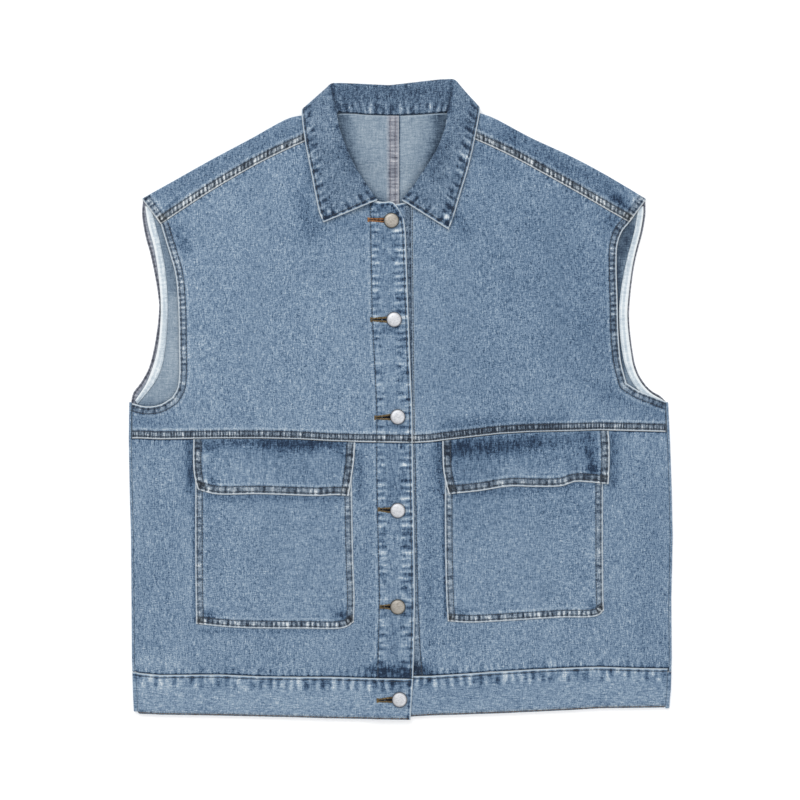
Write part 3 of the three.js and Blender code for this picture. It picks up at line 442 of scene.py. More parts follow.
# Stitches: small flattened spindles, each with two tips and two rings of four points
def spindles(begin, end, ups, thread):
    count = len(begin)
    run = end - begin
    run /= np.maximum(np.linalg.norm(run, axis=1, keepdims=True), 1e-9)
    across = np.cross(ups, run) * thread["width"] / 2
    high, sunk = ups * thread["height"], ups * thread.get("sunk", 0.15)
    rings = []
    for share in (0.14, 0.86):
        spot = begin + (end - begin) * share
        rings += [spot + across, spot + high, spot - across, spot - sunk]
    points = np.stack([begin - sunk / 2, *rings, end - sunk / 2], axis=1)
    faces = []
    for k in range(4):
        n = (k + 1) % 4
        faces += [(0, 1 + n, 1 + k), (1 + k, 5 + n, 5 + k), (1 + k, 1 + n, 5 + n), (9, 5 + k, 5 + n)]
    faces = (np.array(faces)[None] + (np.arange(count) * 10)[:, None, None]).reshape(-1, 3)
    return points.reshape(-1, 3), faces


def stitched(line, ups, thread, seed=1):
    dice = np.random.default_rng(seed)
    steps = np.linalg.norm(np.diff(line, axis=0), axis=1)
    runs = np.concatenate([[0], np.cumsum(steps)])
    count = max(int((runs[-1] - thread["length"]) / thread["pitch"]) + 1, 0)
    start = np.arange(count) * thread["pitch"] + dice.uniform(-0.15, 0.15, count)
    ends = [np.stack([np.interp(start + more, runs, line[:, k]) for k in range(3)], axis=1)
            for more in (0, thread["length"])]
    up = np.stack([np.interp(start, runs, ups[:, k]) for k in range(3)], axis=1)
    return spindles(*ends, up, thread)


def joinStitches(name, parts, look):
    points, faces, start = [], [], 0
    for spots, tris in parts:
        points.append(spots)
        faces.append(tris + start)
        start += len(spots)
    made = makeMesh(name, np.vstack(points), np.vstack(faces))
    made.data.materials.append(look)
    print(f"  {name}: {len(made.data.polygons)} faces")
    return made


def rowOn(piece, line, thread, seed=1):
    line = evenly(line, 1.0)
    x, y = line[:, 0], line[:, 1]
    spots = np.column_stack([x, y, topOf(piece, x, y)])
    return stitched(spots, np.tile([0.0, 0, 1], (len(x), 1)), thread, seed)


# Finishes. Colours are sRGB hex values.
def linear(hexValue):
    channels = [int(hexValue[i : i + 2], 16) / 255 for i in (1, 3, 5)]
    return tuple(c / 12.92 if c <= 0.04045 else ((c + 0.055) / 1.055) ** 2.4 for c in channels) + (1,)


# Adds a node: settings are its own options, and inputs are values or the sockets that feed it
def addNode(tree, kind, settings=None, inputs=None):
    node = tree.nodes.new(kind)
    for name, value in (settings or {}).items():
        setattr(node, name, value)
    for name, value in (inputs or {}).items():
        if isinstance(value, bpy.types.NodeSocket):
            tree.links.new(value, node.inputs[name])
        else:
            node.inputs[name].default_value = value
    return node


def finishNamed(name):
    look = bpy.data.materials.new(name)
    look.use_nodes = True
    tree = look.node_tree
    tree.nodes.clear()
    shader = addNode(tree, "ShaderNodeBsdfPrincipled")
    addNode(tree, "ShaderNodeOutputMaterial", {}, {"Surface": shader.outputs[0]})
    return look, tree, shader


def setStops(ramp, stops):
    while len(ramp.color_ramp.elements) < len(stops):
        ramp.color_ramp.elements.new(0.5)
    for element, (at, colour) in zip(ramp.color_ramp.elements, stops):
        element.position = at
        element.color = linear(colour)


def denimFinish(name, finish):
    look, tree, shader = finishNamed(name)
    place = addNode(tree, "ShaderNodeTexCoord").outputs["Object"]
    multiply, add = {"operation": "MULTIPLY"}, {"operation": "ADD"}
    take, mulAdd = {"operation": "SUBTRACT"}, {"operation": "MULTIPLY_ADD"}

    # Yarns and wash: each layer is a cloud of its own size in millimetres, along the cloth and across it
    shade = addNode(tree, "ShaderNodeAttribute", {"attribute_name": "shade"}).outputs["Fac"]
    layers = {}
    depths = 0
    for layer, (size, depth, detail) in finish["layers"].items():
        put = addNode(tree, "ShaderNodeMapping", {}, {"Vector": place, "Scale": tuple(1000 / s for s in size)})
        noise = addNode(tree, "ShaderNodeTexNoise", {},
                        {"Vector": put.outputs[0], "Scale": 1.0, "Detail": detail, "Roughness": 0.55})
        layers[layer] = noise.outputs["Fac"]
        depths += depth
    tone = addNode(tree, "ShaderNodeMath", add, {0: shade, 1: finish["middle"] - depths / 2}).outputs[0]
    for layer, (size, depth, detail) in finish["layers"].items():
        tone = addNode(tree, "ShaderNodeMath", mulAdd, {0: layers[layer], 1: depth, 2: tone}).outputs[0]

    # Dark strokes, wash and painted shade alike, lie in streaks along the warp
    streaked = addNode(tree, "ShaderNodeMapRange", {}, {
        "Value": layers["streak"], "From Min": 0.38, "From Max": 0.62, "To Min": finish["darkStrokeRange"][0],
        "To Max": finish["darkStrokeRange"][1],
    }).outputs[0]
    dark = addNode(tree, "ShaderNodeMath", {"operation": "MINIMUM"}, {0: shade, 1: 0.0}).outputs[0]
    tone = addNode(tree, "ShaderNodeMath", mulAdd, {0: dark, 1: streaked, 2: tone}).outputs[0]

    # Seams: pale and dark puckers, grooves under the rows of thread darkened with painted shade, and the worn white
    # line of an edge
    raised = addNode(tree, "ShaderNodeMath", multiply, {0: layers["grain"], 1: 0.5}).outputs[0]
    grey = 0.0
    for family in ("across", "upright"):
        mark = addNode(tree, "ShaderNodeAttribute", {"attribute_name": family})
        parts = addNode(tree, "ShaderNodeSeparateColor", {}, {0: mark.outputs["Color"]}).outputs
        turns, away, pucker, edge = parts[0], parts[1], parts[2], mark.outputs["Alpha"]
        held = addNode(tree, "ShaderNodeAttribute", {"attribute_name": family + "Rows"})
        rows = addNode(tree, "ShaderNodeSeparateColor", {}, {0: held.outputs["Color"]}).outputs
        inward = addNode(tree, "ShaderNodeMath", multiply, {0: away, 1: 0.055}).outputs[0]
        field = addNode(tree, "ShaderNodeCombineXYZ", {}, {0: turns, 1: inward}).outputs[0]
        noise = addNode(tree, "ShaderNodeTexNoise", {},
                        {"Vector": field, "Scale": 1.0, "Detail": 2.0, "Roughness": 0.5}).outputs["Fac"]
        swing = addNode(tree, "ShaderNodeMath", take, {0: noise, 1: 0.53}).outputs[0]
        phase = addNode(tree, "ShaderNodeMath", multiply, {0: turns, 1: 2 * math.pi}).outputs[0]
        phase = addNode(tree, "ShaderNodeMath", mulAdd, {0: noise, 1: 5.0, 2: phase}).outputs[0]
        wave = addNode(tree, "ShaderNodeMath", {"operation": "SINE"}, {0: phase}).outputs[0]
        ruffle = addNode(tree, "ShaderNodeMath", mulAdd, {0: wave, 1: finish["ruffle"], 2: swing}).outputs[0]
        blots = addNode(tree, "ShaderNodeMath", multiply, {0: ruffle, 1: pucker}).outputs[0]
        tone = addNode(tree, "ShaderNodeMath", mulAdd, {0: blots, 1: finish["puckerDepth"], 2: tone}).outputs[0]
        raised = addNode(tree, "ShaderNodeMath", mulAdd, {0: blots, 1: 2.0, 2: raised}).outputs[0]
        grooves = 0.0
        for k in (0, 1):
            off = addNode(tree, "ShaderNodeMath", take, {0: away, 1: rows[k]}).outputs[0]
            off = addNode(tree, "ShaderNodeMath", {"operation": "ABSOLUTE"}, {0: off}).outputs[0]
            near = addNode(tree, "ShaderNodeMapRange", {"interpolation_type": "SMOOTHSTEP"}, {
                "Value": off, "From Min": 1.5, "From Max": 0.2, "To Min": 0.0, "To Max": 1.0,
            }).outputs[0]
            grooves = addNode(tree, "ShaderNodeMath", add, {0: near, 1: grooves}).outputs[0]
        # Painted shade in the grooves: the colour is darkened along each row
        sunk = addNode(tree, "ShaderNodeMath", multiply, {0: grooves, 1: rows[2]}).outputs[0]
        tone = addNode(tree, "ShaderNodeMath", mulAdd, {0: sunk, 1: -finish["grooveShade"], 2: tone}).outputs[0]
        raised = addNode(tree, "ShaderNodeMath", mulAdd, {0: sunk, 1: -0.8, 2: raised}).outputs[0]
        off = addNode(tree, "ShaderNodeMath", take, {0: away, 1: rows[1]}).outputs[0]
        off = addNode(tree, "ShaderNodeMath", take, {0: off, 1: 2.8}).outputs[0]
        off = addNode(tree, "ShaderNodeMath", {"operation": "ABSOLUTE"}, {0: off}).outputs[0]
        ridge = addNode(tree, "ShaderNodeMapRange", {"interpolation_type": "SMOOTHSTEP"}, {
            "Value": off, "From Min": 2.0, "From Max": 0.2, "To Min": 0.0, "To Max": finish["ridgeDepth"],
        }).outputs[0]
        tone = addNode(tree, "ShaderNodeMath", mulAdd, {0: ridge, 1: rows[2], 2: tone}).outputs[0]
        ragged = addNode(tree, "ShaderNodeMath", mulAdd, {0: swing, 1: finish["ragged"], 2: away}).outputs[0]
        worn = addNode(tree, "ShaderNodeMapRange", {}, {
            "Value": ragged, "From Min": finish["edgeWidth"] + 0.5, "From Max": finish["edgeWidth"] - 0.5,
            "To Min": 0.0, "To Max": 1.0,
        }).outputs[0]
        line = addNode(tree, "ShaderNodeMath", multiply, {0: worn, 1: edge}).outputs[0]
        paler = addNode(tree, "ShaderNodeMath", take, {0: finish["edgeTone"], 1: tone}).outputs[0]
        tone = addNode(tree, "ShaderNodeMath", mulAdd, {0: line, 1: paler, 2: tone}).outputs[0]
        grey = addNode(tree, "ShaderNodeMath", add, {0: held.outputs["Alpha"], 1: grey}).outputs[0]

    blue = addNode(tree, "ShaderNodeValToRGB", {}, {"Fac": tone})
    setStops(blue, finish["colours"])
    dull = addNode(tree, "ShaderNodeValToRGB", {}, {"Fac": tone})
    setStops(dull, finish["greys"])
    mix = addNode(tree, "ShaderNodeMix", {"data_type": "RGBA", "clamp_factor": True},
                  {"Factor": grey, 6: blue.outputs[0], 7: dull.outputs[0]})
    tree.links.new(mix.outputs[2], shader.inputs["Base Color"])
    height = addNode(tree, "ShaderNodeMath", mulAdd, {0: layers["warp"], 1: 0.5, 2: raised}).outputs[0]
    bump = addNode(tree, "ShaderNodeBump", {}, {"Strength": finish["bump"], "Distance": 0.0006, "Height": height})
    tree.links.new(bump.outputs[0], shader.inputs["Normal"])
    shader.inputs["Roughness"].default_value = 0.88
    shader.inputs["Sheen Weight"].default_value = 0.05
    shader.inputs["Sheen Roughness"].default_value = 0.5
    shader.inputs["Specular IOR Level"].default_value = 0.2
    return look


# Cotton denim, indigo warp and white weft, stone washed: soft blue, worn pale at ridges and edges.
# A real yarn is 0.5 mm wide and wouldn't show, so the yarns are drawn at about 1.4 mm.
washedBlue = [
    (0.0, "#1f2f45"), (0.18, "#3b526e"), (0.36, "#5d7792"), (0.5, "#768ca5"), (0.64, "#8fa5ba"),
    (0.8, "#abbbc9"), (1.0, "#dde5ea"),
]
threadGrey = [
    (0.0, "#24282e"), (0.2, "#464d53"), (0.4, "#676f76"), (0.55, "#858d94"), (0.7, "#a6adb2"), (0.9, "#e4e8ea"),
]
denim = {
    "layers": {
        "warp": ((1.15, 6, 6), 0.85, 2.0), "weft": ((5, 1.15, 5), 0.62, 2.0), "grain": ((1.1, 1.1, 1.1), 0.95, 1.0),
        "streak": ((3.2, 18, 18), 0.1, 1.0), "mottle": ((22, 34, 26), 0.15, 3.0), "wide": ((90, 120, 90), 0.1, 1.0),
    },
    "middle": 0.5, "darkStrokeRange": (-0.15, 0.5), "ridgeDepth": 0.2, "puckerDepth": 1.6, "ruffle": 0.1, "grooveShade": 0.34,
    "edgeWidth": 1.3, "edgeTone": 0.88, "ragged": 0.6, "bump": 0.4, "colours": washedBlue, "greys": threadGrey,
}
rightDenim = denimFinish("washed denim right side", denim)
# The hem band is cut across the cloth, so its warp runs along the hem
bandDenim = denimFinish("washed denim cut crosswise", {**denim, "middle": 0.53, "layers": {
    "warp": ((7, 1.2, 7), 0.82, 2.0), "weft": ((1.2, 5, 5), 0.5, 2.0), "grain": ((1.25, 1.25, 1.25), 0.75, 1.0),
    "streak": ((18, 3.2, 18), 0.10, 1.0), "mottle": ((34, 16, 30), 0.2, 3.0), "wide": ((120, 60, 90), 0.12, 1.0),
}})
# The wrong side shows mostly the white weft, so it is paler and greyer
wrongDenim = denimFinish("washed denim wrong side", {**denim, "darkStrokeRange": (0, 0.06), "puckerDepth": 1.0,
                                                     "edgeTone": 0.72, "layers": {
    "warp": ((1.3, 9, 9), 0.35, 2.0), "weft": ((7, 1.3, 7), 0.5, 2.0), "grain": ((1.3, 1.3, 1.3), 0.4, 1.0),
    "streak": ((4, 20, 20), 0.05, 1.0), "mottle": ((24, 30, 24), 0.15, 3.0), "wide": ((90, 120, 90), 0.1, 1.0),
}, "colours": [
    (0.0, "#2b3a4e"), (0.2, "#506377"), (0.36, "#74879a"), (0.5, "#8b9cac"), (0.64, "#a0afbc"), (0.8, "#bcc7d0"),
    (0.95, "#dfe4e8"),
], "greys": [
    (0.0, "#4c4a50"), (0.3, "#7d7880"), (0.5, "#9b959c"), (0.7, "#b8b2b7"), (0.95, "#dcd8da"),
]})
# Cotton tape, bleached white, with the grey of its weave
whiteTape = denimFinish("bleached cotton tape", {**denim, "puckerDepth": 0.6, "layers": {
    "warp": ((1.2, 8, 8), 0.2, 2.0), "weft": ((6, 1.2, 6), 0.2, 2.0), "grain": ((1.3, 1.3, 1.3), 0.2, 1.0),
    "streak": ((4, 20, 20), 0.05, 1.0), "mottle": ((18, 18, 18), 0.15, 2.0), "wide": ((60, 60, 60), 0.1, 1.0),
}, "colours": [(0.0, "#7f90a2"), (0.3, "#c3d0da"), (0.46, "#eaf1f5"), (0.7, "#fbfdfe"), (1.0, "#ffffff")]})


def threadFinish(name, colour, pale):
    look, tree, shader = finishNamed(name)
    place = addNode(tree, "ShaderNodeTexCoord").outputs["Object"]
    put = addNode(tree, "ShaderNodeMapping", {}, {"Vector": place, "Scale": (700, 700, 700)})
    twist = addNode(tree, "ShaderNodeTexNoise", {}, {"Vector": put.outputs[0], "Scale": 1.0, "Detail": 1.0})
    ramp = addNode(tree, "ShaderNodeValToRGB", {}, {"Fac": twist.outputs["Fac"]})
    setStops(ramp, [(0.3, colour), (0.75, pale)])
    tree.links.new(ramp.outputs[0], shader.inputs["Base Color"])
    shader.inputs["Roughness"].default_value = 0.6
    return look


# Spun polyester sewing thread, in the shades of this vest
greyThread = threadFinish("spun polyester thread grey", "#373e48", "#5a636d")
brownThread = threadFinish("spun polyester thread brown", "#5f5142", "#8a7862")
oliveThread = threadFinish("spun polyester thread olive", "#57482f", "#9a8560")
rustThread = threadFinish("spun polyester thread rust", "#7e4c26", "#cf9a68")
lockThread = threadFinish("spun polyester overlock thread", "#6d6874", "#a59fa8")


# Brass tack buttons, nickel plated and satin brushed, so they mirror the studio softly; their rims are darkened with
# painted shade
def buttonFinish(name, face, worn, edge):
    look, tree, shader = finishNamed(name)
    place = addNode(tree, "ShaderNodeTexCoord").outputs["Object"]
    put = addNode(tree, "ShaderNodeMapping", {}, {"Vector": place, "Scale": (500, 1400, 700)})
    brushed = addNode(tree, "ShaderNodeTexNoise", {}, {"Vector": put.outputs[0], "Scale": 1.0, "Detail": 3.0})
    ramp = addNode(tree, "ShaderNodeValToRGB", {}, {"Fac": brushed.outputs["Fac"]})
    setStops(ramp, [(0.3, worn), (0.6, face)])
    # Painted shade: the colour turns darker towards the rim
    rim = addNode(tree, "ShaderNodeAttribute", {"attribute_name": "rim"}).outputs["Fac"]
    mix = addNode(tree, "ShaderNodeMix", {"data_type": "RGBA"}, {"Factor": rim, 6: ramp.outputs[0], 7: linear(edge)})
    tree.links.new(mix.outputs[2], shader.inputs["Base Color"])
    rough = addNode(tree, "ShaderNodeMapRange", {}, {"Value": brushed.outputs["Fac"], "To Min": 0.42, "To Max": 0.62})
    tree.links.new(rough.outputs[0], shader.inputs["Roughness"])
    bump = addNode(tree, "ShaderNodeBump", {},
                   {"Strength": 0.12, "Distance": 0.0002, "Height": brushed.outputs["Fac"]})
    tree.links.new(bump.outputs[0], shader.inputs["Normal"])
    shader.inputs["Metallic"].default_value = 1.0
    return look


brightNickel = buttonFinish("nickel plated brass satin", "#e4e5e8", "#bfc2c8", "#6d6f76")
# Buttons 1 and 5 take the darker finish; on button 5 it is painted shade, as that button lies tilted
darkerNickel = buttonFinish("nickel plated brass darker", "#bdb8b0", "#938e86", "#55544f")
print("finishes made")


# Rows of stitches and the seams they hold
topThread = {"pitch": 3.2, "length": 2.9, "width": 0.85, "height": 0.36}
holeThread = {"width": 0.75, "height": 0.5, "sunk": 0.3}
lockRows = {"pitch": 1.9, "length": 1.5, "width": 0.8, "height": 0.3}
pitch = 2.0
gap = lay["seamGap"]


def acrossLine(side, name, shift, low, high):
    x = np.linspace(low, high, max(int(abs(high - low) / pitch), 2) + 1)
    return np.column_stack([x, crossAt(side, name, x) + shift])


def standLine(name, low, high):
    y = np.linspace(low, high, max(int(abs(high - low) / pitch), 2) + 1)
    return np.column_stack([standAt(name, y), y])


def between(a, b, step=pitch):
    return evenly(np.array([a, b], float), step)


def wedgeOf(button):
    x, y, farX, farY = button
    corners = [(farX, farY - 0.8), (x, y - 3.6), (x + 4, y - 1.8), (x + 4, y + 1.8), (x, y + 3.6), (farX, farY + 0.8)]
    return joined([between(a, b, 1.6) for a, b in zip(corners, corners[1:] + corners[:1])])


# Satin bars round a buttonhole, with a bar tack at its far end
def holeBars(piece, button):
    dice = np.random.default_rng(int(button[1]) + 900)
    x, y, farX, farY = button
    starts, ends = [], []
    slit = between((farX, farY), (x - 4.5, y), 0.75)
    share = (slit[:, :1] - farX) / (x - farX)
    spread = 0.9 if button == buttons[0] else 2.6
    for sign in (-1, 1):
        starts.append(slit + (0, sign) * (0.25 + spread * 0.45 * share))
        ends.append(slit + (0.3, sign) * (2.0 + dice.uniform(-0.3, 0.3, share.shape) + spread * share))
    tack = np.linspace(-2.3, 2.3, 7)
    starts.append(np.column_stack([np.full(7, farX - 1.6), farY + tack]))
    ends.append(np.column_stack([np.full(7, farX + 1.1), farY + tack * 0.9]))
    starts, ends = np.vstack(starts), np.vstack(ends)
    heights = [topOf(piece, spots[:, 0], spots[:, 1]) + 0.05 for spots in (starts, ends)]
    ups = np.tile([0.0, 0, 1], (len(starts), 1))
    return spindles(np.column_stack([starts, heights[0]]), np.column_stack([ends, heights[1]]), ups, holeThread)


def workHoles(piece, list_):
    for number in list_:
        look = rustThread if number == 0 else oliveThread
        joinStitches(f"buttonhole_{number + 1}", [holeBars(piece, buttons[number])], look)


# Each front above the chest seam
upperFront = {
    "chest": {"reach": 9, "period": 3.0, "pucker": 0.95, "edge": 1, "rows": [2.6, 8.0], "grime": 0.6, "groove": 0.8,
              "tone": -0.01},
    "shoulder": {"reach": 4, "period": 5, "pucker": 0.5, "edge": 0},
    "top": {"reach": 7, "period": 6, "pucker": 0.7, "edge": 1.1, "rows": [3.6]},
    "armhole": {"reach": 8.5, "period": 5.5, "pucker": 0.75, "edge": 1, "relief": 0.12, "rows": [2.8, 8.2],
                "grime": 0.35, "groove": 0.65, "tone": 0.04},
    "edge": {"reach": 15, "period": 7.4, "pucker": 0.92, "edge": 1, "relief": 0.22, "rows": [3.2], "groove": 0.62,
             "tone": 0.03},
    "line": {"reach": 9, "period": 7.4, "pucker": 0.72, "relief": 0.15, "groove": 0.45, "tone": 0.05},
    "throat": {"reach": 6, "period": 5, "pucker": 0.5, "edge": 0.2},
}


def frontUpper(side):
    sign = side["sign"]
    floor = evenly(softly(side["armholeFloor"]), pitch)
    armhole = evenly(softly(side["frontArmhole"]), pitch)
    shoulder = evenly(softly(side["shoulderSeam"]), pitch)
    throat = evenly(softly(side["frontNeck"]), pitch)
    standTop = evenly(softly(side["standTop"]), pitch)
    sideX, sideY = side["armholeFloor"][0]
    endX, endY = side["standTop"][-1]
    chest = acrossLine(side, "chest", gap, sideX, standAt(side["edge"], -46.7))
    sideRun = between(chest[0], (sideX, sideY))
    edge = np.vstack([standLine(side["edge"], chest[-1][1], endY - 14), (endX, endY)])
    outline = joined([chest, evenly(edge, pitch), standTop[::-1], throat, shoulder[::-1], armhole[::-1], floor[::-1],
                      sideRun[::-1]])
    line = standLine(side["line"], chest[-1][1], 222)
    hole = np.vstack([floor, armhole[1:]])
    onStand = lambda x, y: 1.0 * (-sign * (x - standAt(side["line"], y)) > 0)
    offStand = lambda x, y: np.where(onStand(x, y) > 0, -9.0, 0.2)

    def ply(x, y):
        raised = smooth((-sign * (x - standAt(side["line"], y)) + 1) / 1.5)
        for seam in (chest, hole):
            away, _ = nearLine(seam, x, y)
            raised = np.maximum(raised, 1 - smooth((away - fell["width"]) / fell["step"]))
        return cloth["ply"] + (cloth["seam"] - cloth["ply"]) * raised

    lineSeam = {**upperFront["line"], "line": line, "only": onStand, "rows": [0.2, offStand]}
    if sign > 0:
        # The left front's strip beside the lapping right front is greyer, and darker with painted shade
        lineSeam.update(pucker=0.25, groove=0.5, grime=0.35, tone=-0.12, edge=0.45,
                        rows=[lambda x, y: np.where(onStand(x, y) > 0, 2.2, -9.0)])
    piece = {
        "name": f"front_upper_{side['key']}", "outline": outline, "rest": side["lay"], "ply": ply, "cell": 2.0,
        "seed": 11, "slot": "denim", "looks": [rightDenim, wrongDenim],
        "across": [{**upperFront["chest"], "line": chest}, {**upperFront["shoulder"], "line": shoulder},
                   {**upperFront["top"], "line": standTop}],
        "upright": [{**upperFront["armhole"], "line": hole}, {**upperFront["edge"], "line": edge}, lineSeam,
                    {**upperFront["throat"], "line": throat}],
        "washAndShade": side["upperWashAndShade"], "folds": side["upperFolds"],
    }
    if sign < 0:
        piece["holes"] = [wedgeOf(b) for b in buttons[:3]]
    made = laidSheet(piece)
    rows = [rowOn(piece, chest + (0, away), topThread, k) for k, away in enumerate((2.6, 8.0))]
    rows += [rowOn(piece, shifted(hole, sign * away), topThread, 3 + k) for k, away in enumerate((2.8, 8.2))]
    rows.append(rowOn(piece, line, topThread, 5))
    if sign < 0:
        rows.append(rowOn(piece, edge - (3.2, 0), topThread, 6))
        workHoles(piece, (0, 1, 2))
    joinStitches(f"stitches_front_upper_{side['key']}", rows, greyThread)
    return made


# Each front from the chest seam down to the hem band
lowerFront = {
    "band": {"reach": 8, "period": 7, "pucker": 0.45, "rows": [0.4], "groove": 0.9},
    "chest": {"reach": 6, "period": 4, "pucker": 0.4, "rows": [0.2], "groove": 0.9},
    "edge": {"reach": 15, "period": 7.4, "pucker": 0.92, "edge": 1, "relief": 0.22, "rows": [3.2], "groove": 0.62,
             "tone": 0.03},
    "line": {"reach": 9, "period": 7.4, "pucker": 0.72, "relief": 0.15, "groove": 0.45, "tone": 0.05},
}


def frontLower(side):
    sign = side["sign"]
    chest = acrossLine(side, "chest", -gap, sideAt(side, -42) - sign * 3, standAt(side["edge"], -47.3))
    band = acrossLine(side, "band", gap, sideAt(side, -300) - sign * 3, standAt(side["edge"], -303))
    edge = standLine(side["edge"], band[-1][1], chest[-1][1])
    line = standLine(side["line"], band[-1][1], chest[-1][1])
    y = np.linspace(band[0][1], chest[0][1], 130)
    sideRun = np.column_stack([sideAt(side, y) - sign * 3, y])
    outline = joined([band, edge, chest[::-1], sideRun[::-1]])
    onStand = lambda x, y: 1.0 * (-sign * (x - standAt(side["line"], y)) > 0)
    offStand = lambda x, y: np.where(onStand(x, y) > 0, -9.0, 0.2)

    def ply(x, y):
        raised = smooth((-sign * (x - standAt(side["line"], y)) + 1) / 1.5)
        return cloth["ply"] + (cloth["seam"] - cloth["ply"]) * raised

    lineSeam = {**lowerFront["line"], "line": line, "only": onStand, "rows": [0.2, offStand]}
    if sign > 0:
        # The same strip below the chest seam, greyer and darker with painted shade
        lineSeam.update(pucker=0.25, groove=0.4, grime=0.3, tone=-0.03)
    piece = {
        "name": f"front_lower_{side['key']}", "outline": outline, "rest": side["lay"], "ply": ply, "cell": 2.0,
        "seed": 12, "slot": "denim", "looks": [rightDenim, wrongDenim],
        "across": [{**lowerFront["band"], "line": band}, {**lowerFront["chest"], "line": chest}],
        "upright": [{**lowerFront["edge"], "line": edge}, lineSeam],
        "washAndShade": side["lowerWashAndShade"], "folds": side["lowerFolds"],
    }
    if sign < 0:
        piece["holes"] = [wedgeOf(b) for b in buttons[3:5]]
    made = laidSheet(piece)
    rows = [rowOn(piece, line, topThread, 5)]
    if sign < 0:
        rows.append(rowOn(piece, edge - (3.2, 0), topThread, 6))
        workHoles(piece, (3, 4))
    joinStitches(f"stitches_front_lower_{side['key']}", rows, greyThread)
    return made


# The band of each front, folded double
hemBand = {
    "top": {"reach": 14, "period": 9.6, "pucker": 0.9, "edge": 0.95, "relief": 0.25, "rows": [3.0], "groove": 0.66,
            "tone": 0.03},
    "foot": {"reach": 3.5, "period": 6, "pucker": 0.3, "relief": 0.1, "rows": [0.9], "groove": 0.7, "grime": 0.4},
    "end": {"reach": 6, "period": 6, "pucker": 0.5, "edge": 0.9, "rows": [3.0]},
}


def frontBand(side):
    sign = side["sign"]
    inset = 4.5
    top = acrossLine(side, "band", -gap, sideAt(side, -300) - sign * inset, side["bandTop"])
    foot = acrossLine(side, "hem", 0, sideAt(side, -341) - sign * (inset + 1), side["bandHem"])
    y = np.linspace(foot[0][1], top[0][1], 22)
    sideRun = np.column_stack([sideAt(side, y) - sign * inset, y])
    sideRun[0] = foot[0]
    end = between(foot[-1], top[-1])
    outline = joined([foot, end, top[::-1], sideRun[::-1]])
    piece = {
        "name": f"hem_band_{side['key']}", "outline": outline, "rest": side["lay"],
        "ply": lambda x, y: np.full(x.shape, cloth["band"]), "cell": 2.0, "seed": 13, "slot": "denim",
        "looks": [bandDenim, wrongDenim],
        "across": [{**hemBand["top"], "line": top}, {**hemBand["foot"], "line": foot}],
        "upright": [{**hemBand["end"], "line": end}],
        "washAndShade": side["bandWashAndShade"],
    }
    if sign < 0:
        piece["holes"] = [wedgeOf(buttons[5])]
    made = laidSheet(piece)
    joinStitches(f"stitches_hem_top_{side['key']}", [rowOn(piece, top - (0, 3.0), topThread, 1)], greyThread)
    joinStitches(f"stitches_hem_foot_{side['key']}", [rowOn(piece, foot + (0, 1.3), topThread, 2)], brownThread)
    if sign < 0:
        workHoles(piece, (5,))
    return made


# Patch pockets with flaps
pocket = {
    "bagEdge": {"reach": 8, "period": 7.5, "pucker": 0.7, "edge": 0.85, "rows": [2.4, 7.8], "grime": 0.4,
                "groove": 0.32, "tone": 0.03},
    "flapEdge": {"reach": 9, "period": 7, "pucker": 0.85, "edge": 1, "relief": 0.15, "rows": [2.8, 8.6],
                 "grime": 0.55, "groove": 0.65, "tone": 0.06},
    "bagFoot": {"reach": 8, "period": 5.4, "pucker": 1.2, "edge": 0.9, "rows": [2.4, 7.8], "grime": 0.5, "groove": 0.6,
                "tone": 0.07},
    "bagRows": (2.4, 7.8), "flapRows": (2.8, 8.6),
}


def patchRows(piece, foot, left, right, rows):
    made = []
    for k, away in enumerate(rows):
        made += [
            rowOn(piece, shifted(foot, away)[1:-1], topThread, 1 + k), rowOn(piece, left + (away, 0), topThread, 3 + k),
            rowOn(piece, right - (away, 0), topThread, 5 + k),
        ]
    return made


def pocketBag(side):
    left, right, foot = (evenly(softly(side[name]), pitch) for name in ("bagLeft", "bagRight", "bagFoot"))
    outline = joined([foot, right, between(left[-1], right[-1])[::-1], left[::-1]])
    piece = {
        "name": f"pocket_bag_{side['key']}", "outline": outline,
        "rest": lambda x, y: side["lay"](x, y) + cloth["ply"] + lay["gap"],
        "ply": lambda x, y: np.full(x.shape, cloth["bag"]), "cell": 2.0, "seed": 14, "slot": "denim",
        "looks": [rightDenim, wrongDenim],
        "across": [{**pocket["bagFoot"], "line": foot}],
        "upright": [{**pocket["bagEdge"], "line": left}, {**pocket["bagEdge"], "line": right}],
        "washAndShade": side["bagWashAndShade"],
    }
    made = laidSheet(piece)
    joinStitches(f"stitches_pocket_bag_{side['key']}", patchRows(piece, foot, left, right, pocket["bagRows"]),
                 greyThread)
    return made


def pocketFlap(side):
    ends = []
    for name in ("flapLeft", "flapRight"):
        x = side[name][-1][0]
        ends.append(evenly(softly([*side[name][:-1], (x, crossAt(side, "chest", x) - gap)]), pitch))
    left, right = ends
    foot = evenly(softly(side["flapFoot"]), pitch)
    head = acrossLine(side, "chest", -gap, left[-1][0], right[-1][0])
    outline = joined([foot, right, head[::-1], left[::-1]])

    def rest(x, y):
        fallen = (cloth["bag"] + lay["gap"]) * smooth((crossAt(side, "chest", x) - gap - y) / 14)
        return side["lay"](x, y) + cloth["ply"] + lay["gap"] + fallen

    offFoot = lambda x, y: smooth(nearLine(foot, x, y)[0] / 11)
    sides = [{**pocket["flapEdge"], "line": line, "only": offFoot} for line in (left, right)]
    piece = {
        "name": f"pocket_flap_{side['key']}", "outline": outline, "rest": rest,
        "ply": lambda x, y: np.full(x.shape, cloth["flap"]), "cell": 2.0, "seed": 15, "slot": "denim",
        "looks": [rightDenim, wrongDenim],
        "across": [{**pocket["flapEdge"], "line": foot}],
        "upright": sides,
        "washAndShade": side["flapWashAndShade"], "folds": side["flapFolds"],
    }
    made = laidSheet(piece)
    joinStitches(f"stitches_pocket_flap_{side['key']}", patchRows(piece, foot, left, right, pocket["flapRows"]),
                 greyThread)
    return made


# White tape bound inside the back armhole, with a ridge along its outer edge and painted shade along its inner edge
tape = {"ridge": 0.45, "ridgeAt": 2.2, "ridgeWidth": 1.1}


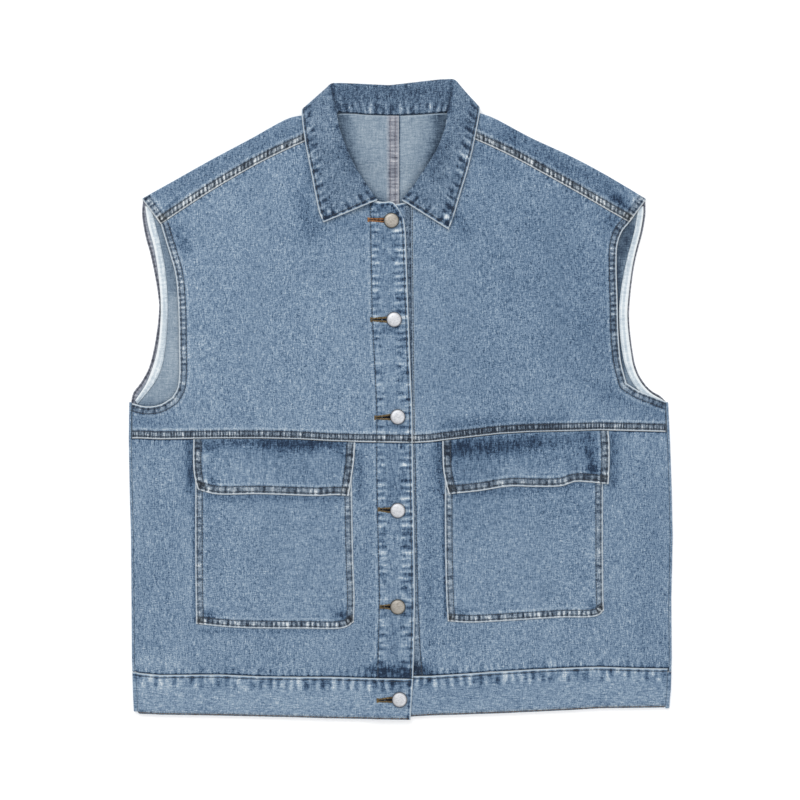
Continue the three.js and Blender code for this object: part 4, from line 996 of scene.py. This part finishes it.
def armholeTape(side):
    outer = evenly(softly(side["tapeOuter"]), pitch)
    inner = evenly(softly(side["tapeInner"]), pitch, len(outer) - 1)
    outline = joined([outer, between(outer[-1], inner[-1]), inner[::-1], between(inner[0], outer[0])])
    middle = (outer + inner) / 2
    piece = {
        "name": f"armhole_tape_{side['key']}", "outline": outline,
        "rest": lambda x, y: backRest(x, y) + cloth["ply"] + lay["gap"],
        "ply": lambda x, y: cloth["tape"] + tape["ridge"] * np.exp(
            -(((nearLine(outer, x, y)[0] - tape["ridgeAt"]) / tape["ridgeWidth"]) ** 2)),
        "cell": 1.3, "seed": 16, "slot": "tape", "looks": [whiteTape, whiteTape],
        # Painted shade: the inner edge is darkened where the tape turns under
        "across": [{"line": inner, "reach": 2.2, "period": 5, "pucker": 0.2, "groove": 0, "tone": side["tapeShade"]}],
        "upright": [{"line": middle, "reach": 4, "period": 5, "pucker": 0.3, "rows": [0.6], "groove": 0.5}],
    }
    return laidSheet(piece)


# Walls that turn over on themselves are drawn by their middle surface
def weld(parts):
    points = np.vstack([spots for spots, _ in parts])
    faces, start = [], 0
    for spots, tris in parts:
        faces.append(tris + start)
        start += len(spots)
    faces = np.vstack(faces)
    keys = np.round(points / 0.02).astype(np.int64)
    _, first, back = np.unique(keys, axis=0, return_index=True, return_inverse=True)
    faces = back.ravel()[faces]
    sound = (faces[:, 0] != faces[:, 1]) & (faces[:, 1] != faces[:, 2]) & (faces[:, 2] != faces[:, 0])
    return points[first], faces[sound], first


def gridFaces(rows, columns, turned=False):
    index = np.arange(rows * columns).reshape(rows, columns)
    a, b, c, d = index[:-1, :-1].ravel(), index[:-1, 1:].ravel(), index[1:, 1:].ravel(), index[1:, :-1].ravel()
    faces = np.vstack([np.stack([a, b, c], 1), np.stack([a, c, d], 1)])
    return faces[:, ::-1] if turned else faces


def normalsOf(points, faces):
    a, b, c = (points[faces[:, k]] for k in range(3))
    normal = np.cross(b - a, c - a)
    total = np.zeros(points.shape)
    for k in range(3):
        np.add.at(total, faces[:, k], normal)
    return total / np.maximum(np.linalg.norm(total, axis=1, keepdims=True), 1e-12)


def halfTurns(spots, outward, low, high, ply, steps=8):
    radius = (high - low) / 2
    middle = spots - outward * (radius + ply / 2)[:, None]
    angles = np.pi * (np.arange(steps + 1) / steps - 0.5)
    reach = radius[:, None] * np.cos(angles)
    rise = (low + radius)[:, None] + radius[:, None] * np.sin(angles)
    x = middle[:, :1] + outward[:, :1] * reach
    y = middle[:, 1:] + outward[:, 1:] * reach
    return np.stack([x, y, rise], axis=2)


def backMiddle(x, y):
    return backRest(x, y) + cloth["ply"] / 2


def frontMiddle(x, y):
    return frontLay(x, y) + cloth["ply"] / 2


def turnedSheet(name, inner, outer, tris, marks, looks, finishes):
    walls, upper, lower, rims = closedWall(inner, outer, tris)
    faces = np.vstack([upper, lower, rims])
    made = makeMesh(name, walls, faces, marks, np.repeat(looks, [len(upper), len(lower), len(rims)]))
    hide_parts(name)
    for finish in finishes:
        made.data.materials.append(finish)
    a, b, c = (inner[tris[:, k]] for k in range(3))
    area = np.linalg.norm(np.cross(b - a, c - a), axis=1).sum() / 2
    print(f"  {name}: {len(faces)} faces, {area / 1e6:.4f} m2")
    return made


# Each half of the back, round its side and over its shoulder to the seams on the front
backPiece = {
    "shoulder": {"reach": 9, "period": 4.8, "pucker": 1.2, "edge": 1, "rows": [2.6, 7.8], "grime": 0.75, "groove": 0.7,
                 "slant": 0.09, "tone": 0.1},
    "hem": {"reach": 9, "period": 5, "pucker": 1.0, "edge": 1, "rows": [2.8, 8.2], "grime": 0.5, "groove": 0.6,
            "tone": 0.05},
    "centre": {"reach": 12, "period": 4, "pucker": 0.8, "edge": 0.7, "rows": [4.2, 10.0], "grime": 0.55, "groove": 0.4,
               "tone": 0.03},
    "armhole": {"reach": 5, "period": 5, "pucker": 0.8, "rows": [1.6], "groove": 0.8, "grime": 0.6},
    "throat": {"reach": 4, "period": 6, "pucker": 0.4, "edge": 0.6},
}


def backHalf(side):
    sign = side["sign"]
    step = 2.8
    seamX = -1.6 + sign * gap / 2
    footY = -299 + gap
    y = np.linspace(footY, -2, int(297 / step))
    x = sideAt(side, y)
    sideRings = halfTurns(np.column_stack([x, y]), np.tile([float(sign), 0.0], (len(y), 1)),
                          np.full(y.shape, cloth["ply"] / 2), frontMiddle(x, y), cloth["ply"])
    lip = sideRings[:, -1:].copy()
    lip[:, 0, 0] = x - sign * (3 - gap)
    sideRings = np.concatenate([sideRings, lip], axis=1)

    fold = evenly(softly(side["shoulderFold"]), step)
    run = np.gradient(fold, axis=0)
    run /= np.linalg.norm(run, axis=1, keepdims=True)
    outward = np.stack([-sign * run[:, 1], sign * run[:, 0]], axis=1)
    rings = halfTurns(fold, outward, backMiddle(fold[:, 0], fold[:, 1]), frontMiddle(fold[:, 0], fold[:, 1]),
                      cloth["ply"])
    seamLine = evenly(softly(side["shoulderSeam"])[::-1], step, len(fold) - 1)
    last = rings[:, -1, :2]
    length = np.linalg.norm(seamLine - last, axis=1)
    shares = np.linspace(0, 1, 14)[1:] * (1 - gap / length)[:, None]
    strip = last[:, None] + (seamLine - last)[:, None] * shares[:, :, None]
    stripZ = frontMiddle(strip[:, :, 0], strip[:, :, 1])
    felled = 1 - smooth((length[:, None] * (1 - shares) - fell["width"]) / fell["step"])
    wrap = np.concatenate([rings, np.concatenate([strip, stripZ[:, :, None]], axis=2)], axis=1)

    throat = evenly(softly([(seamX, 313.6), *side["backNeck"][:-1], tuple(rings[0, 0, :2])]), step)
    centre = between((seamX, footY), (seamX, 313.6), step)
    armhole = evenly(softly([tuple(sideRings[-1, 0, :2]), *side["backArmhole"][1:-1], tuple(rings[-1, 0, :2])]), step)
    foot = between((seamX, footY), tuple(sideRings[0, 0, :2]), step)
    outline = joined([centre, throat, rings[:, 0, :2], armhole[::-1], sideRings[::-1, 0, :2], foot[::-1]])
    points, faces = filled(outline, [], step, 21)
    away, _ = nearLine(sideRings[:, 0, :2], points[:, 0], points[:, 1])
    z = np.where(away < 0.1, cloth["ply"] / 2, backMiddle(points[:, 0], points[:, 1]))
    flat = np.column_stack([points, z])
    parts = [
        (flat, faces),
        (sideRings.reshape(-1, 3), gridFaces(len(y), sideRings.shape[1], sign < 0)),
        (wrap.reshape(-1, 3), gridFaces(len(fold), wrap.shape[1], sign > 0)),
    ]
    turned = sideRings[:, :, 0].size
    extra = np.concatenate([np.zeros(len(flat) + turned),
                            np.concatenate([np.zeros(rings.shape[:2]), felled], axis=1).ravel()])
    onTop = np.concatenate([np.zeros(len(flat)), np.ones(turned + wrap[:, :, 0].size)])
    middle, tris, first = weld(parts)
    extra, onTop = extra[first], onTop[first]
    normal = normalsOf(middle, tris)
    half, thicker = cloth["ply"] / 2, cloth["seam"] - cloth["ply"]
    x, y = middle[:, 0], middle[:, 1]
    inStrip = (sign < 0) * (1 - smooth((np.abs(x - seamX) - 11) / 2)) * (1 - onTop)
    inner = middle + normal * (half + thicker * inStrip)[:, None]
    outer = middle - normal * (half + thicker * extra)[:, None]
    inner[:, 2] = np.maximum(inner[:, 2], 0)
    outer[:, 2] = np.maximum(outer[:, 2], 0)
    below = {"across": [{**backPiece["throat"], "line": throat}],
             "upright": [{**backPiece["centre"], "line": centre, "pucker": 0.9 if sign < 0 else 0.1},
                         {**backPiece["armhole"], "line": armhole}], "washAndShade": side["backWashAndShade"]}
    if sign > 0:
        below["upright"][0].update(rows=[0.3], grime=0, groove=1.0, edge=0)
    hemEnd = between(seamLine[-1], fold[-1])
    above = {"across": [{**backPiece["shoulder"], "line": seamLine}],
             "upright": [{**backPiece["hem"], "line": hemEnd}], "washAndShade": side["yokeWashAndShade"]}
    marks, topMarks = seamMarks(below, x, y), seamMarks(above, x, y)
    over = np.concatenate([onTop, onTop]) > 0.5
    for name, value in marks.items():
        value[over] = topMarks[name][over]
    made = turnedSheet(f"back_{side['key']}", inner, outer, tris, marks, [1, 0, 0], [rightDenim, wrongDenim])

    # Two rows on the felled shoulder seam, one row along the armhole and, inside, the overlocked centre seam
    up = [0.0, 0, 1]
    rows = []
    for k, away in enumerate((2.6, 7.8)):
        line = last + (seamLine - last) * (1 - away / length)[:, None]
        z = frontMiddle(line[:, 0], line[:, 1]) + half + thicker
        spots = evenly(np.column_stack([line, z]), 1.0)
        rows.append(stitched(spots, np.tile(up, (len(spots), 1)), topThread, 31 + k))
    line = shifted(evenly(armhole, 1.0), sign * 1.6)[4:-4]
    spots = np.column_stack([line, backRest(line[:, 0], line[:, 1]) + cloth["ply"]])
    rows.append(stitched(spots, np.tile(up, (len(spots), 1)), topThread, 33))
    joinStitches(f"stitches_back_{side['key']}", rows, greyThread)
    if sign < 0:
        rows = []
        for k, away in enumerate((4.0, 9.5)):
            y = np.arange(150, 312.5, 1.0)
            spots = np.column_stack([np.full(y.shape, seamX - away), y, backRest(seamX, y) + cloth["seam"]])
            rows.append(stitched(spots, np.tile(up, (len(y), 1)), lockRows, 51 + k))
        joinStitches("overlock_centre_back", rows, lockThread)
    return made


def backBand():
    step = 2.8
    head = -299 - gap

    def rings(side):
        sign = side["sign"]
        y = np.linspace(crossAt(side, "hem", sign * 300.0) - 1, head, 16)
        x = sideAt(side, y)
        ring = halfTurns(np.column_stack([x, y]), np.tile([float(sign), 0.0], (len(y), 1)),
                         np.full(y.shape, cloth["band"] / 2), frontLay(x, y) + cloth["band"] / 2, cloth["band"])
        lip = ring[:, -1:].copy()
        lip[:, 0, 0] = x - sign * 4.4
        return np.concatenate([ring, lip], axis=1)

    right, left = rings(rightSide), rings(leftSide)
    share = np.linspace(0, 1, int(590 / step))
    xs = right[:, 0, 0][:, None] + (left[:, 0, 0] - right[:, 0, 0])[:, None] * share
    foot = np.where(xs[0] < 0, crossAt(rightSide, "hem", xs[0]), crossAt(leftSide, "hem", xs[0])) + 1
    ys = foot[None] + (head - foot)[None] * np.linspace(0, 1, 16)[:, None]
    ys[:, 0], ys[:, -1] = right[:, 0, 1], left[:, 0, 1]
    flat = np.stack([xs, ys, np.full(xs.shape, cloth["band"] / 2)], axis=2)
    parts = [
        (flat.reshape(-1, 3), gridFaces(*xs.shape)),
        (right.reshape(-1, 3), gridFaces(right.shape[0], right.shape[1], True)),
        (left.reshape(-1, 3), gridFaces(left.shape[0], left.shape[1])),
    ]
    middle, tris, _ = weld(parts)
    normal = normalsOf(middle, tris)
    half = cloth["band"] / 2
    piece = {"across": [{**hemBand["top"], "line": between((-294, head), (294, head))}], "upright": []}
    marks = seamMarks(piece, middle[:, 0], middle[:, 1])
    return turnedSheet("hem_band_back", middle + normal * half, middle - normal * half, tris, marks, [1, 0, 0],
                       [bandDenim, wrongDenim])


# The collar: a folded band swept round the neck, from its end on the right front to the left one
collarSeams = {
    "edgePeriod": 8.6, "edgeReach": 14, "footPeriod": 8, "footReach": 12, "relief": 0.25, "row": 3.1, "tone": -0.09, "grime": 0.14,
}


def collarGrid():
    rows = collarRows
    runs = np.concatenate([[0], np.cumsum(np.maximum(
        np.hypot(*np.diff(rows[:, 4:6], axis=0).T), np.hypot(*np.diff(rows[:, 2:4], axis=0).T)))])
    wanted = np.linspace(0, runs[-1], int(runs[-1] / 2.3))
    table = np.stack([np.interp(wanted, runs, rows[:, k]) for k in range(7)], axis=1)
    blur = np.array([1, 2, 3, 2, 1]) / 9
    for k in range(7):
        table[2:-2, k] = np.convolve(table[:, k], blur, "valid")
    half = cloth["collar"] / 2
    rise, crown = 1.6, 0.8
    fallRest = cloth["seam"] + 2 * lay["gap"] + half
    sections = []
    for fx, fy, rx, ry, ex, ey, share in table:
        foot, roll, edge = np.array([fx, fy]), np.array([rx, ry]), np.array([ex, ey])
        onStand = foot + (roll - foot) * 0.6
        onTurn = roll + (edge - roll) * 0.1
        onFall = roll + (edge - roll) * 0.5
        under = rightLay if fx < neck["middle"] else frontLay
        standUp = float(under(fx, fy)) + half
        standDown = float(backMiddle(fx, fy))
        shape = [
            (foot, standUp, standDown), (onStand, standUp, standDown + rise),
            (roll, standUp + (fallRest + rise) / 2, (standDown + rise + half) / 2),
            (onTurn, float(under(rx, ry)) + fallRest + rise, half),
            (onFall, float(under(*onFall)) + fallRest + crown, half),
            (edge, float(under(ex, ey)) + fallRest, half),
        ]
        spots = np.array([(*spot, down + (up - down) * share) for spot, up, down in shape])
        line = softly(spots, 8)
        line[:, 2] = np.maximum(line[:, 2], half)
        sections.append(line)
    return np.array(sections), smooth((table[:, 6:] - 0.8) / 0.2)


def collar():
    seams = collarSeams
    grid, free = collarGrid()
    rowsCount, columns = grid.shape[:2]
    middle = grid.reshape(-1, 3)
    tris = gridFaces(rowsCount, columns)
    normal = normalsOf(middle, tris)
    steps = np.linalg.norm(np.diff(grid, axis=1), axis=2)
    inSection = np.concatenate([np.zeros((rowsCount, 1)), np.cumsum(steps, axis=1)], axis=1)
    steps = np.linalg.norm(np.diff(grid, axis=0), axis=2)
    inRows = np.concatenate([np.zeros((1, columns)), np.cumsum(steps, axis=0)], axis=0)
    toEdge = inSection[:, -1:] - inSection
    toEnd = np.minimum(inRows, inRows[-1:] - inRows)
    edgeRun = np.tile(inRows[:, -1:], (1, columns))
    footRun = np.tile(inRows[:, :1], (1, columns))
    atFoot = inSection < 14
    edgeWindow = 1 - smooth((toEdge / seams["edgeReach"] - 0.75) / 0.5)
    footWindow = 1 - smooth((inSection / seams["footReach"] - 0.75) / 0.5)
    endWindow = 1 - smooth((toEnd / seams["edgeReach"] - 0.75) / 0.5)
    ones, none = np.ones(toEdge.shape), np.full(toEdge.shape, -9.0)
    across = np.stack([
        np.where(atFoot, footRun / seams["footPeriod"], edgeRun / seams["edgePeriod"]),
        np.where(atFoot, inSection, toEdge), np.where(atFoot, 0.75 * footWindow, 1.0 * edgeWindow),
        np.where(atFoot, 0.0, 1.0),
    ], axis=2).reshape(-1, 4)
    upright = np.stack([inSection / seams["edgePeriod"], toEnd, endWindow, ones], axis=2).reshape(-1, 4)
    acrossRows = np.stack([np.where(atFoot, 0.0, seams["row"]), none, 0.85 * ones, seams["grime"] * ones],
                          axis=2).reshape(-1, 4)
    uprightRows = np.stack([seams["row"] * ones, none, 0.85 * ones, 0 * ones], axis=2).reshape(-1, 4)
    swell = np.sin(2 * math.pi * edgeRun / seams["edgePeriod"] + 1.3 * np.sin(edgeRun / 5))
    swell = swell * edgeWindow * seams["relief"] * (1 - np.exp(-toEdge / 2)) * free
    middle = middle + normal * swell.reshape(-1, 1)
    half = cloth["collar"] / 2
    first, second = middle + normal * half, middle - normal * half
    first[:, 2] = np.maximum(first[:, 2], 0)
    second[:, 2] = np.maximum(second[:, 2], 0)
    # The collar's tone, with painted shade and paler strokes from its table
    shade = seams["tone"] + strokes(collarWashAndShade, middle[:, 0], middle[:, 1])
    marks = {
        "across": np.vstack([across] * 2), "upright": np.vstack([upright] * 2),
        "acrossRows": np.vstack([acrossRows] * 2), "uprightRows": np.vstack([uprightRows] * 2),
        "shade": np.concatenate([shade] * 2),
    }
    made = turnedSheet("collar", first, second, tris, marks, [0, 0, 0], [rightDenim])

    # One row of stitches round the fall, on its outer face
    outerFace, ups = second.reshape(rowsCount, columns, 3), (-normal).reshape(rowsCount, columns, 3)
    if ups[5, columns * 3 // 4, 2] < 0:
        outerFace, ups = first.reshape(rowsCount, columns, 3), -ups
    line, lift = [], []
    for r in range(rowsCount):
        at = inSection[r, -1] - seams["row"]
        line.append([np.interp(at, inSection[r], outerFace[r, :, k]) for k in range(3)])
        lift.append([np.interp(at, inSection[r], ups[r, :, k]) for k in range(3)])
    rows = [stitched(np.array(line)[2:-2], np.array(lift)[2:-2], topThread, 41)]
    for r in (2, rowsCount - 3):
        start = int(columns * 0.45)
        rows.append(stitched(outerFace[r, start:-2], ups[r, start:-2], topThread, 42 + r))
    joinStitches("stitches_collar", rows, greyThread)
    return made


# Tack buttons: a low crowned cap with a rolled rim on a shank
button = {
    "profile": [(0, 3.1), (3.5, 3.05), (5.9, 2.85), (6.9, 2.5), (7.3, 2.4), (7.7, 2.5), (8.15, 2.2), (8.45, 1.6),
                (8.5, 1.0), (8.1, 0.4), (7.2, 0), (3, 0)],
    "steps": 48, "shank": 3, "rimShadeStart": 6.4, "rimShadeWidth": 1.8, "dull": (0, 4),
}


def deselectAll():
    for thing in bpy.context.selected_objects:
        thing.select_set(False)
    bpy.context.view_layer.objects.active = None


def tackButtons():
    for number, (x, y, _, _) in enumerate(buttons):
        ply = cloth["band"] if number == len(buttons) - 1 else cloth["seam"]
        seat = float(rightLay(x, y)) + ply + lay["gap"]
        low = float(frontLay(x, y)) + ply + lay["gap"]
        profile = [(r, seat + z) for r, z in button["profile"]] + [(button["shank"], low), (0, low)]
        mesh = bpy.data.meshes.new(f"tack_button_{number + 1}")
        spots = [((x + r) * mm, y * mm, z * mm) for r, z in profile]
        mesh.from_pydata(spots, [(i, i + 1) for i in range(len(spots) - 1)], [])
        made = bpy.data.objects.new(mesh.name, mesh)
        bpy.context.scene.collection.objects.link(made)
        deselectAll()
        made.select_set(True)
        bpy.context.view_layer.objects.active = made
        bpy.ops.object.mode_set(mode="EDIT")
        bpy.ops.mesh.select_all(action="SELECT")
        bpy.ops.mesh.spin(steps=button["steps"], angle=2 * math.pi, center=(x * mm, y * mm, 0), axis=(0, 0, 1))
        bpy.ops.mesh.select_all(action="SELECT")
        bpy.ops.mesh.remove_doubles(threshold=0.00002)
        bpy.ops.mesh.normals_make_consistent(inside=False)
        bpy.ops.object.mode_set(mode="OBJECT")
        bpy.ops.object.shade_smooth_by_angle(angle=math.radians(50))
        # Painted shade: the rim, from its start outward, is marked to darken the colour
        spots = np.array([v.co[:2] for v in made.data.vertices]) / mm - (x, y)
        rim = smooth((np.hypot(spots[:, 0], spots[:, 1]) - button["rimShadeStart"]) / button["rimShadeWidth"])
        made.data.attributes.new(name="rim", type="FLOAT", domain="POINT").data.foreach_set("value", rim)
        made.data.materials.append(darkerNickel if number in button["dull"] else brightNickel)
        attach(made, "root")
        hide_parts(f"button_{number + 1}")
    print("  tack buttons")


# Washes with painted shade and highlight, and folds, as soft strokes: x and y of both ends, width, and how much paler
# or higher
# On the right, dark strokes under the buttons, under the collar and its points, beside the pockets and flaps, below the
# placket and under the chest seam are painted shadow; the dark and pale pairs at the shoulder tip and the pale lines on
# the flap are painted shading of wrinkles; on the back the dark strokes along the collar and the front armhole edge are
# painted shadow; the other strokes are wash marks
rightSide.update({
    "upperWashAndShade": [(-225, 150, -228, 60, 26, 0.04), (-250, 188, -238, 168, 9, -0.14), (-110, 222, -96, 188, 12, -0.13),
                  (-66, 196, -38, 194, 10, -0.07), (-230, -38, -60, -38, 4, -0.07), (-33, 212, -8, 210, 6, -0.2),
                  (-24, 78, 2, 76, 5, -0.14), (-24, -27, 4, -28, 4, -0.12), (-30, 186, -16, 180, 6, -0.1),
                  (-10, 180, -12, 110, 13, -0.04), (-296, -6, -270, -10, 6, -0.1),
                  (-104, 290, -100, 240, 6, -0.1), (-150, -20, -60, -20, 22, 0.03), (-288, -20, -262, -22, 12, -0.06)],
    "upperFolds": [(-250, 178, -232, 148, 4, 0.7), (-247, 160, -237, 124, 4, 0.5), (-60, 180, -68, 60, 14, 0.6),
                   (-150, 236, -165, 40, 16, 0.7), (-215, 190, -205, 20, 14, 0.5)],
    "lowerWashAndShade": [(-232, -48, -230, -98, 6, -0.26), (-227.8, -106, -227.2, -244, 1.6, -0.2),
                  (-235, -110, -235, -240, 5, 0.03), (-3, -58, -4, -112, 15, -0.1), (-4, -240, -4, -282, 14, -0.05), (-45, -60, -45, -105, 5, -0.14),
                  (-296, -290, -250, -290, 11, 0.08), (-220, -254, -60, -254, 2, -0.1),
                  (-26, -297, 10, -299, 7, -0.32), (-42, -299, -26, -297, 6, -0.14), (-22, -288, -16, -299, 4, -0.1)],
    "lowerFolds": [(-266, -60, -260, -270, 12, 0.6)],
    "bandWashAndShade": [(-34, -309, 8, -310, 6, -0.22), (-290, -330, -120, -334, 16, 0.05), (-292, -304, -262, -306, 10, 0.14)],
    "bagWashAndShade": [(-220, -106, -60, -108, 5, -0.14), (-214, -236, -208, -240, 5, -0.28), (-66, -236, -58, -240, 6, -0.32)],
    "flapWashAndShade": [(-196, -46, -62, -47, 7, -0.2), (-150, -48, -100, -51, 8, -0.14), (-96, -47, -74, -48, 5, -0.1),
                 (-222, -48, -206, -52, 8, -0.25), (-214, -62, -213, -90, 2, 0.12), (-216, -62, -200, -53, 2, 0.16),
                 (-60, -60, -58, -95, 5, -0.12), (-190, -80, -150, -84, 12, 0.05), (-222, -70, -222, -96, 4, -0.12),
                 (-225, -75, -60, -75, 70, -0.04), (-206, -92, -214, -74, 5, -0.1)],
    "flapFolds": [(-216, -62, -200, -53, 2.5, 0.5), (-214, -90, -213, -64, 2.5, 0.4), (-62, -92, -60, -60, 3, 0.4)],
    "backWashAndShade": [(-46, 230, -62, 262, 12, -0.3), (-62, 262, -66, 316, 12, -0.3), (-46, 230, -20, 215, 9, -0.26),
                 (-250, 40, -250, 95, 9, 0.07), (-251, 125, -262, 190, 9, -0.15), (-262, -6, -290, -6, 7, -0.2)],
    "yokeWashAndShade": [(-110, 304, -250, 232, 14, -0.09), (-262, 208, -246, 223, 2.5, -0.22), (-258, 215, -244, 229, 2, 0.14),
                 (-268, 220, -263, 209, 2, 0.12)],
})
# On the left, dark strokes in the buttonholes, beside the pockets and flaps, below the placket and near the shoulder
# tip are painted shadow, and so are the back's dark strokes along the collar and the front armhole edge; the other
# strokes are wash marks
leftSide.update({
    "upperWashAndShade": [(180, 190, 215, 60, 45, -0.07), (80, 240, 110, 20, 90, -0.035), (76, 276, 120, 254, 13, -0.07),
                  (66, 200, 72, 188, 9, -0.1), (40, -39, 120, -34, 3, -0.12),
                  (120, -34, 214, -31, 3, -0.12), (280, -3, 294, -4, 6, -0.15),
                  (232, 196, 244, 182, 12, -0.16), (234, 170, 234, 40, 9, -0.05), (52, -30, 175, -26, 9, -0.16),
                  (230, 10, 286, -18, 12, -0.08), (-25, 89, -10, 89, 3.5, -0.6), (-28, 199, -14, 198, 3, -0.6),
                  (-20, -19, -6, -18, 3.5, -0.6)],
    "upperFolds": [(246, 182, 226, 140, 4, 0.7), (170, 220, 176, 40, 18, 0.7), (74, 206, 62, 40, 14, 0.5),
                   (226, 110, 200, 30, 12, 0.6)],
    "lowerWashAndShade": [(43, -48, 45, -98, 6, -0.22), (235, -40, 235, -92, 6, -0.2), (16, -294, 32, -299, 7, -0.32), (14, -288, 18, -299, 4, -0.1), (-18, -120, -6, -121, 3.5, -0.6),
                  (-17, -227, -6, -227, 3.5, -0.6), (270, -60, 270, -280, 30, -0.03), (32, -60, 32, -264, 10, -0.07),
                  (47.4, -104, 47.4, -160, 1.7, -0.28), (47.4, -160, 49.6, -238, 1.7, -0.28)],
    "lowerFolds": [(264, -56, 258, -280, 12, 0.6)],
    "bandWashAndShade": [(14, -306, 32, -307, 5, -0.16), (-24, -329, -8, -329, 3.5, -0.6)],
    "bagWashAndShade": [(58, -104, 220, -92, 5, -0.14), (66, -122, 209, -118, 22, -0.06), (62, -232, 68, -236, 5, -0.2), (210, -226, 216, -230, 5, -0.2)],
    "flapWashAndShade": [(52, -52, 140, -47, 11, -0.24), (150, -46, 206, -41, 8, -0.14), (60, -54, 100, -54, 9, -0.12),
                 (57, -62, 58, -90, 5, -0.12),
                 (212, -84, 224, -86, 9, -0.12), (54, -96, 70, -96, 7, -0.12),
                 (208, -56, 212, -76, 6, -0.22), (120, -80, 170, -80, 11, 0.07), (50, -70, 230, -70, 60, -0.09)],
    "flapFolds": [(62, -92, 60, -62, 3, 0.5), (104, -58, 150, -80, 9, 0.6), (186, -84, 206, -58, 6, 0.5)],
    "backWashAndShade": [(28, 232, 42, 262, 13, -0.32), (42, 262, 46, 316, 13, -0.32), (28, 232, 2, 213, 9, -0.26),
                 (241, 30, 238, 146, 8, -0.4), (243, 162, 253, 190, 9, -0.38), (255, 14, 288, 0, 7, -0.16)],
    "yokeWashAndShade": [(76, 304, 120, 290, 15, -0.05), (120, 288, 240, 224, 14, -0.16), (234, 224, 250, 212, 4, -0.22),
                 (240, 231, 256, 222, 3, 0.1), (256, 206, 268, 216, 6, -0.12)],
})
# Painted shade along the collar's fold lines and across its back, and paler strokes near its points
collarWashAndShade = [(-72, 318, -75, 346, 3, -0.2), (53, 318, 56, 350, 3, -0.2), (-60, 338, 40, 340, 13, -0.13),
              (-52, 252, -66, 278, 6, -0.08), (34, 252, 46, 278, 6, -0.08), (-92, 214, -100, 262, 7, 0.06),
              (62, 205, 76, 262, 7, 0.06)]

print("sheets")
deselectAll()
for side in (rightSide, leftSide):
    for maker in (frontUpper, frontLower, frontBand, pocketBag, pocketFlap, armholeTape, backHalf):
        maker(side)
backBand()
collar()
tackButtons()

# Camera: straight down, with a long lens, 880 mm wide at the cloth
camera = {"lens": 135, "wide": 0.880, "x": -0.00055, "y": 0.00055, "clothHeight": 0.009}
sight = bpy.data.cameras.new("camera")
sight.lens = camera["lens"]
sight.sensor_width = 36
sight.clip_end = 20
eye = bpy.data.objects.new("camera", sight)
eye.location = (camera["x"], camera["y"], camera["clothHeight"] + camera["wide"] * camera["lens"] / 36)
bpy.context.scene.collection.objects.link(eye)
bpy.context.scene.camera = eye

# Floor: matt white paper
floorLook, floorTree, floorShader = finishNamed("matt white paper")
floorShader.inputs["Base Color"].default_value = linear("#ffffff")
floorShader.inputs["Roughness"].default_value = 0.95
floorShader.inputs["Emission Color"].default_value = (1, 1, 1, 1)
floorShader.inputs["Emission Strength"].default_value = 0.25
deselectAll()
bpy.ops.mesh.primitive_plane_add(size=6, location=(0, 0, -0.0005))
floor = bpy.context.object
floor.name = "floor"
floor.data.materials.append(floorLook)

# Soft studio light from above the collar, with an even fill
lights = {
    "key": {"size": 1.6, "power": 28, "place": (-0.7, 1.5, 2.2)},
    "fill": {"size": 2.2, "power": 13, "place": (1.3, -0.9, 2.4)},
}
for name, settings in lights.items():
    lamp = bpy.data.lights.new(name, "AREA")
    lamp.size = settings["size"]
    lamp.energy = settings["power"]
    thing = bpy.data.objects.new(name, lamp)
    thing.location = settings["place"]
    thing.rotation_euler = (-Vector(settings["place"])).to_track_quat("-Z", "Y").to_euler()
    bpy.context.scene.collection.objects.link(thing)
world = bpy.data.worlds.new("studio")
world.use_nodes = True
world.node_tree.nodes["Background"].inputs[0].default_value = (1, 1, 1, 1)
world.node_tree.nodes["Background"].inputs[1].default_value = 0.62
bpy.context.scene.world = world
bpy.context.scene.view_settings.view_transform = "Standard"

print("scene ready")
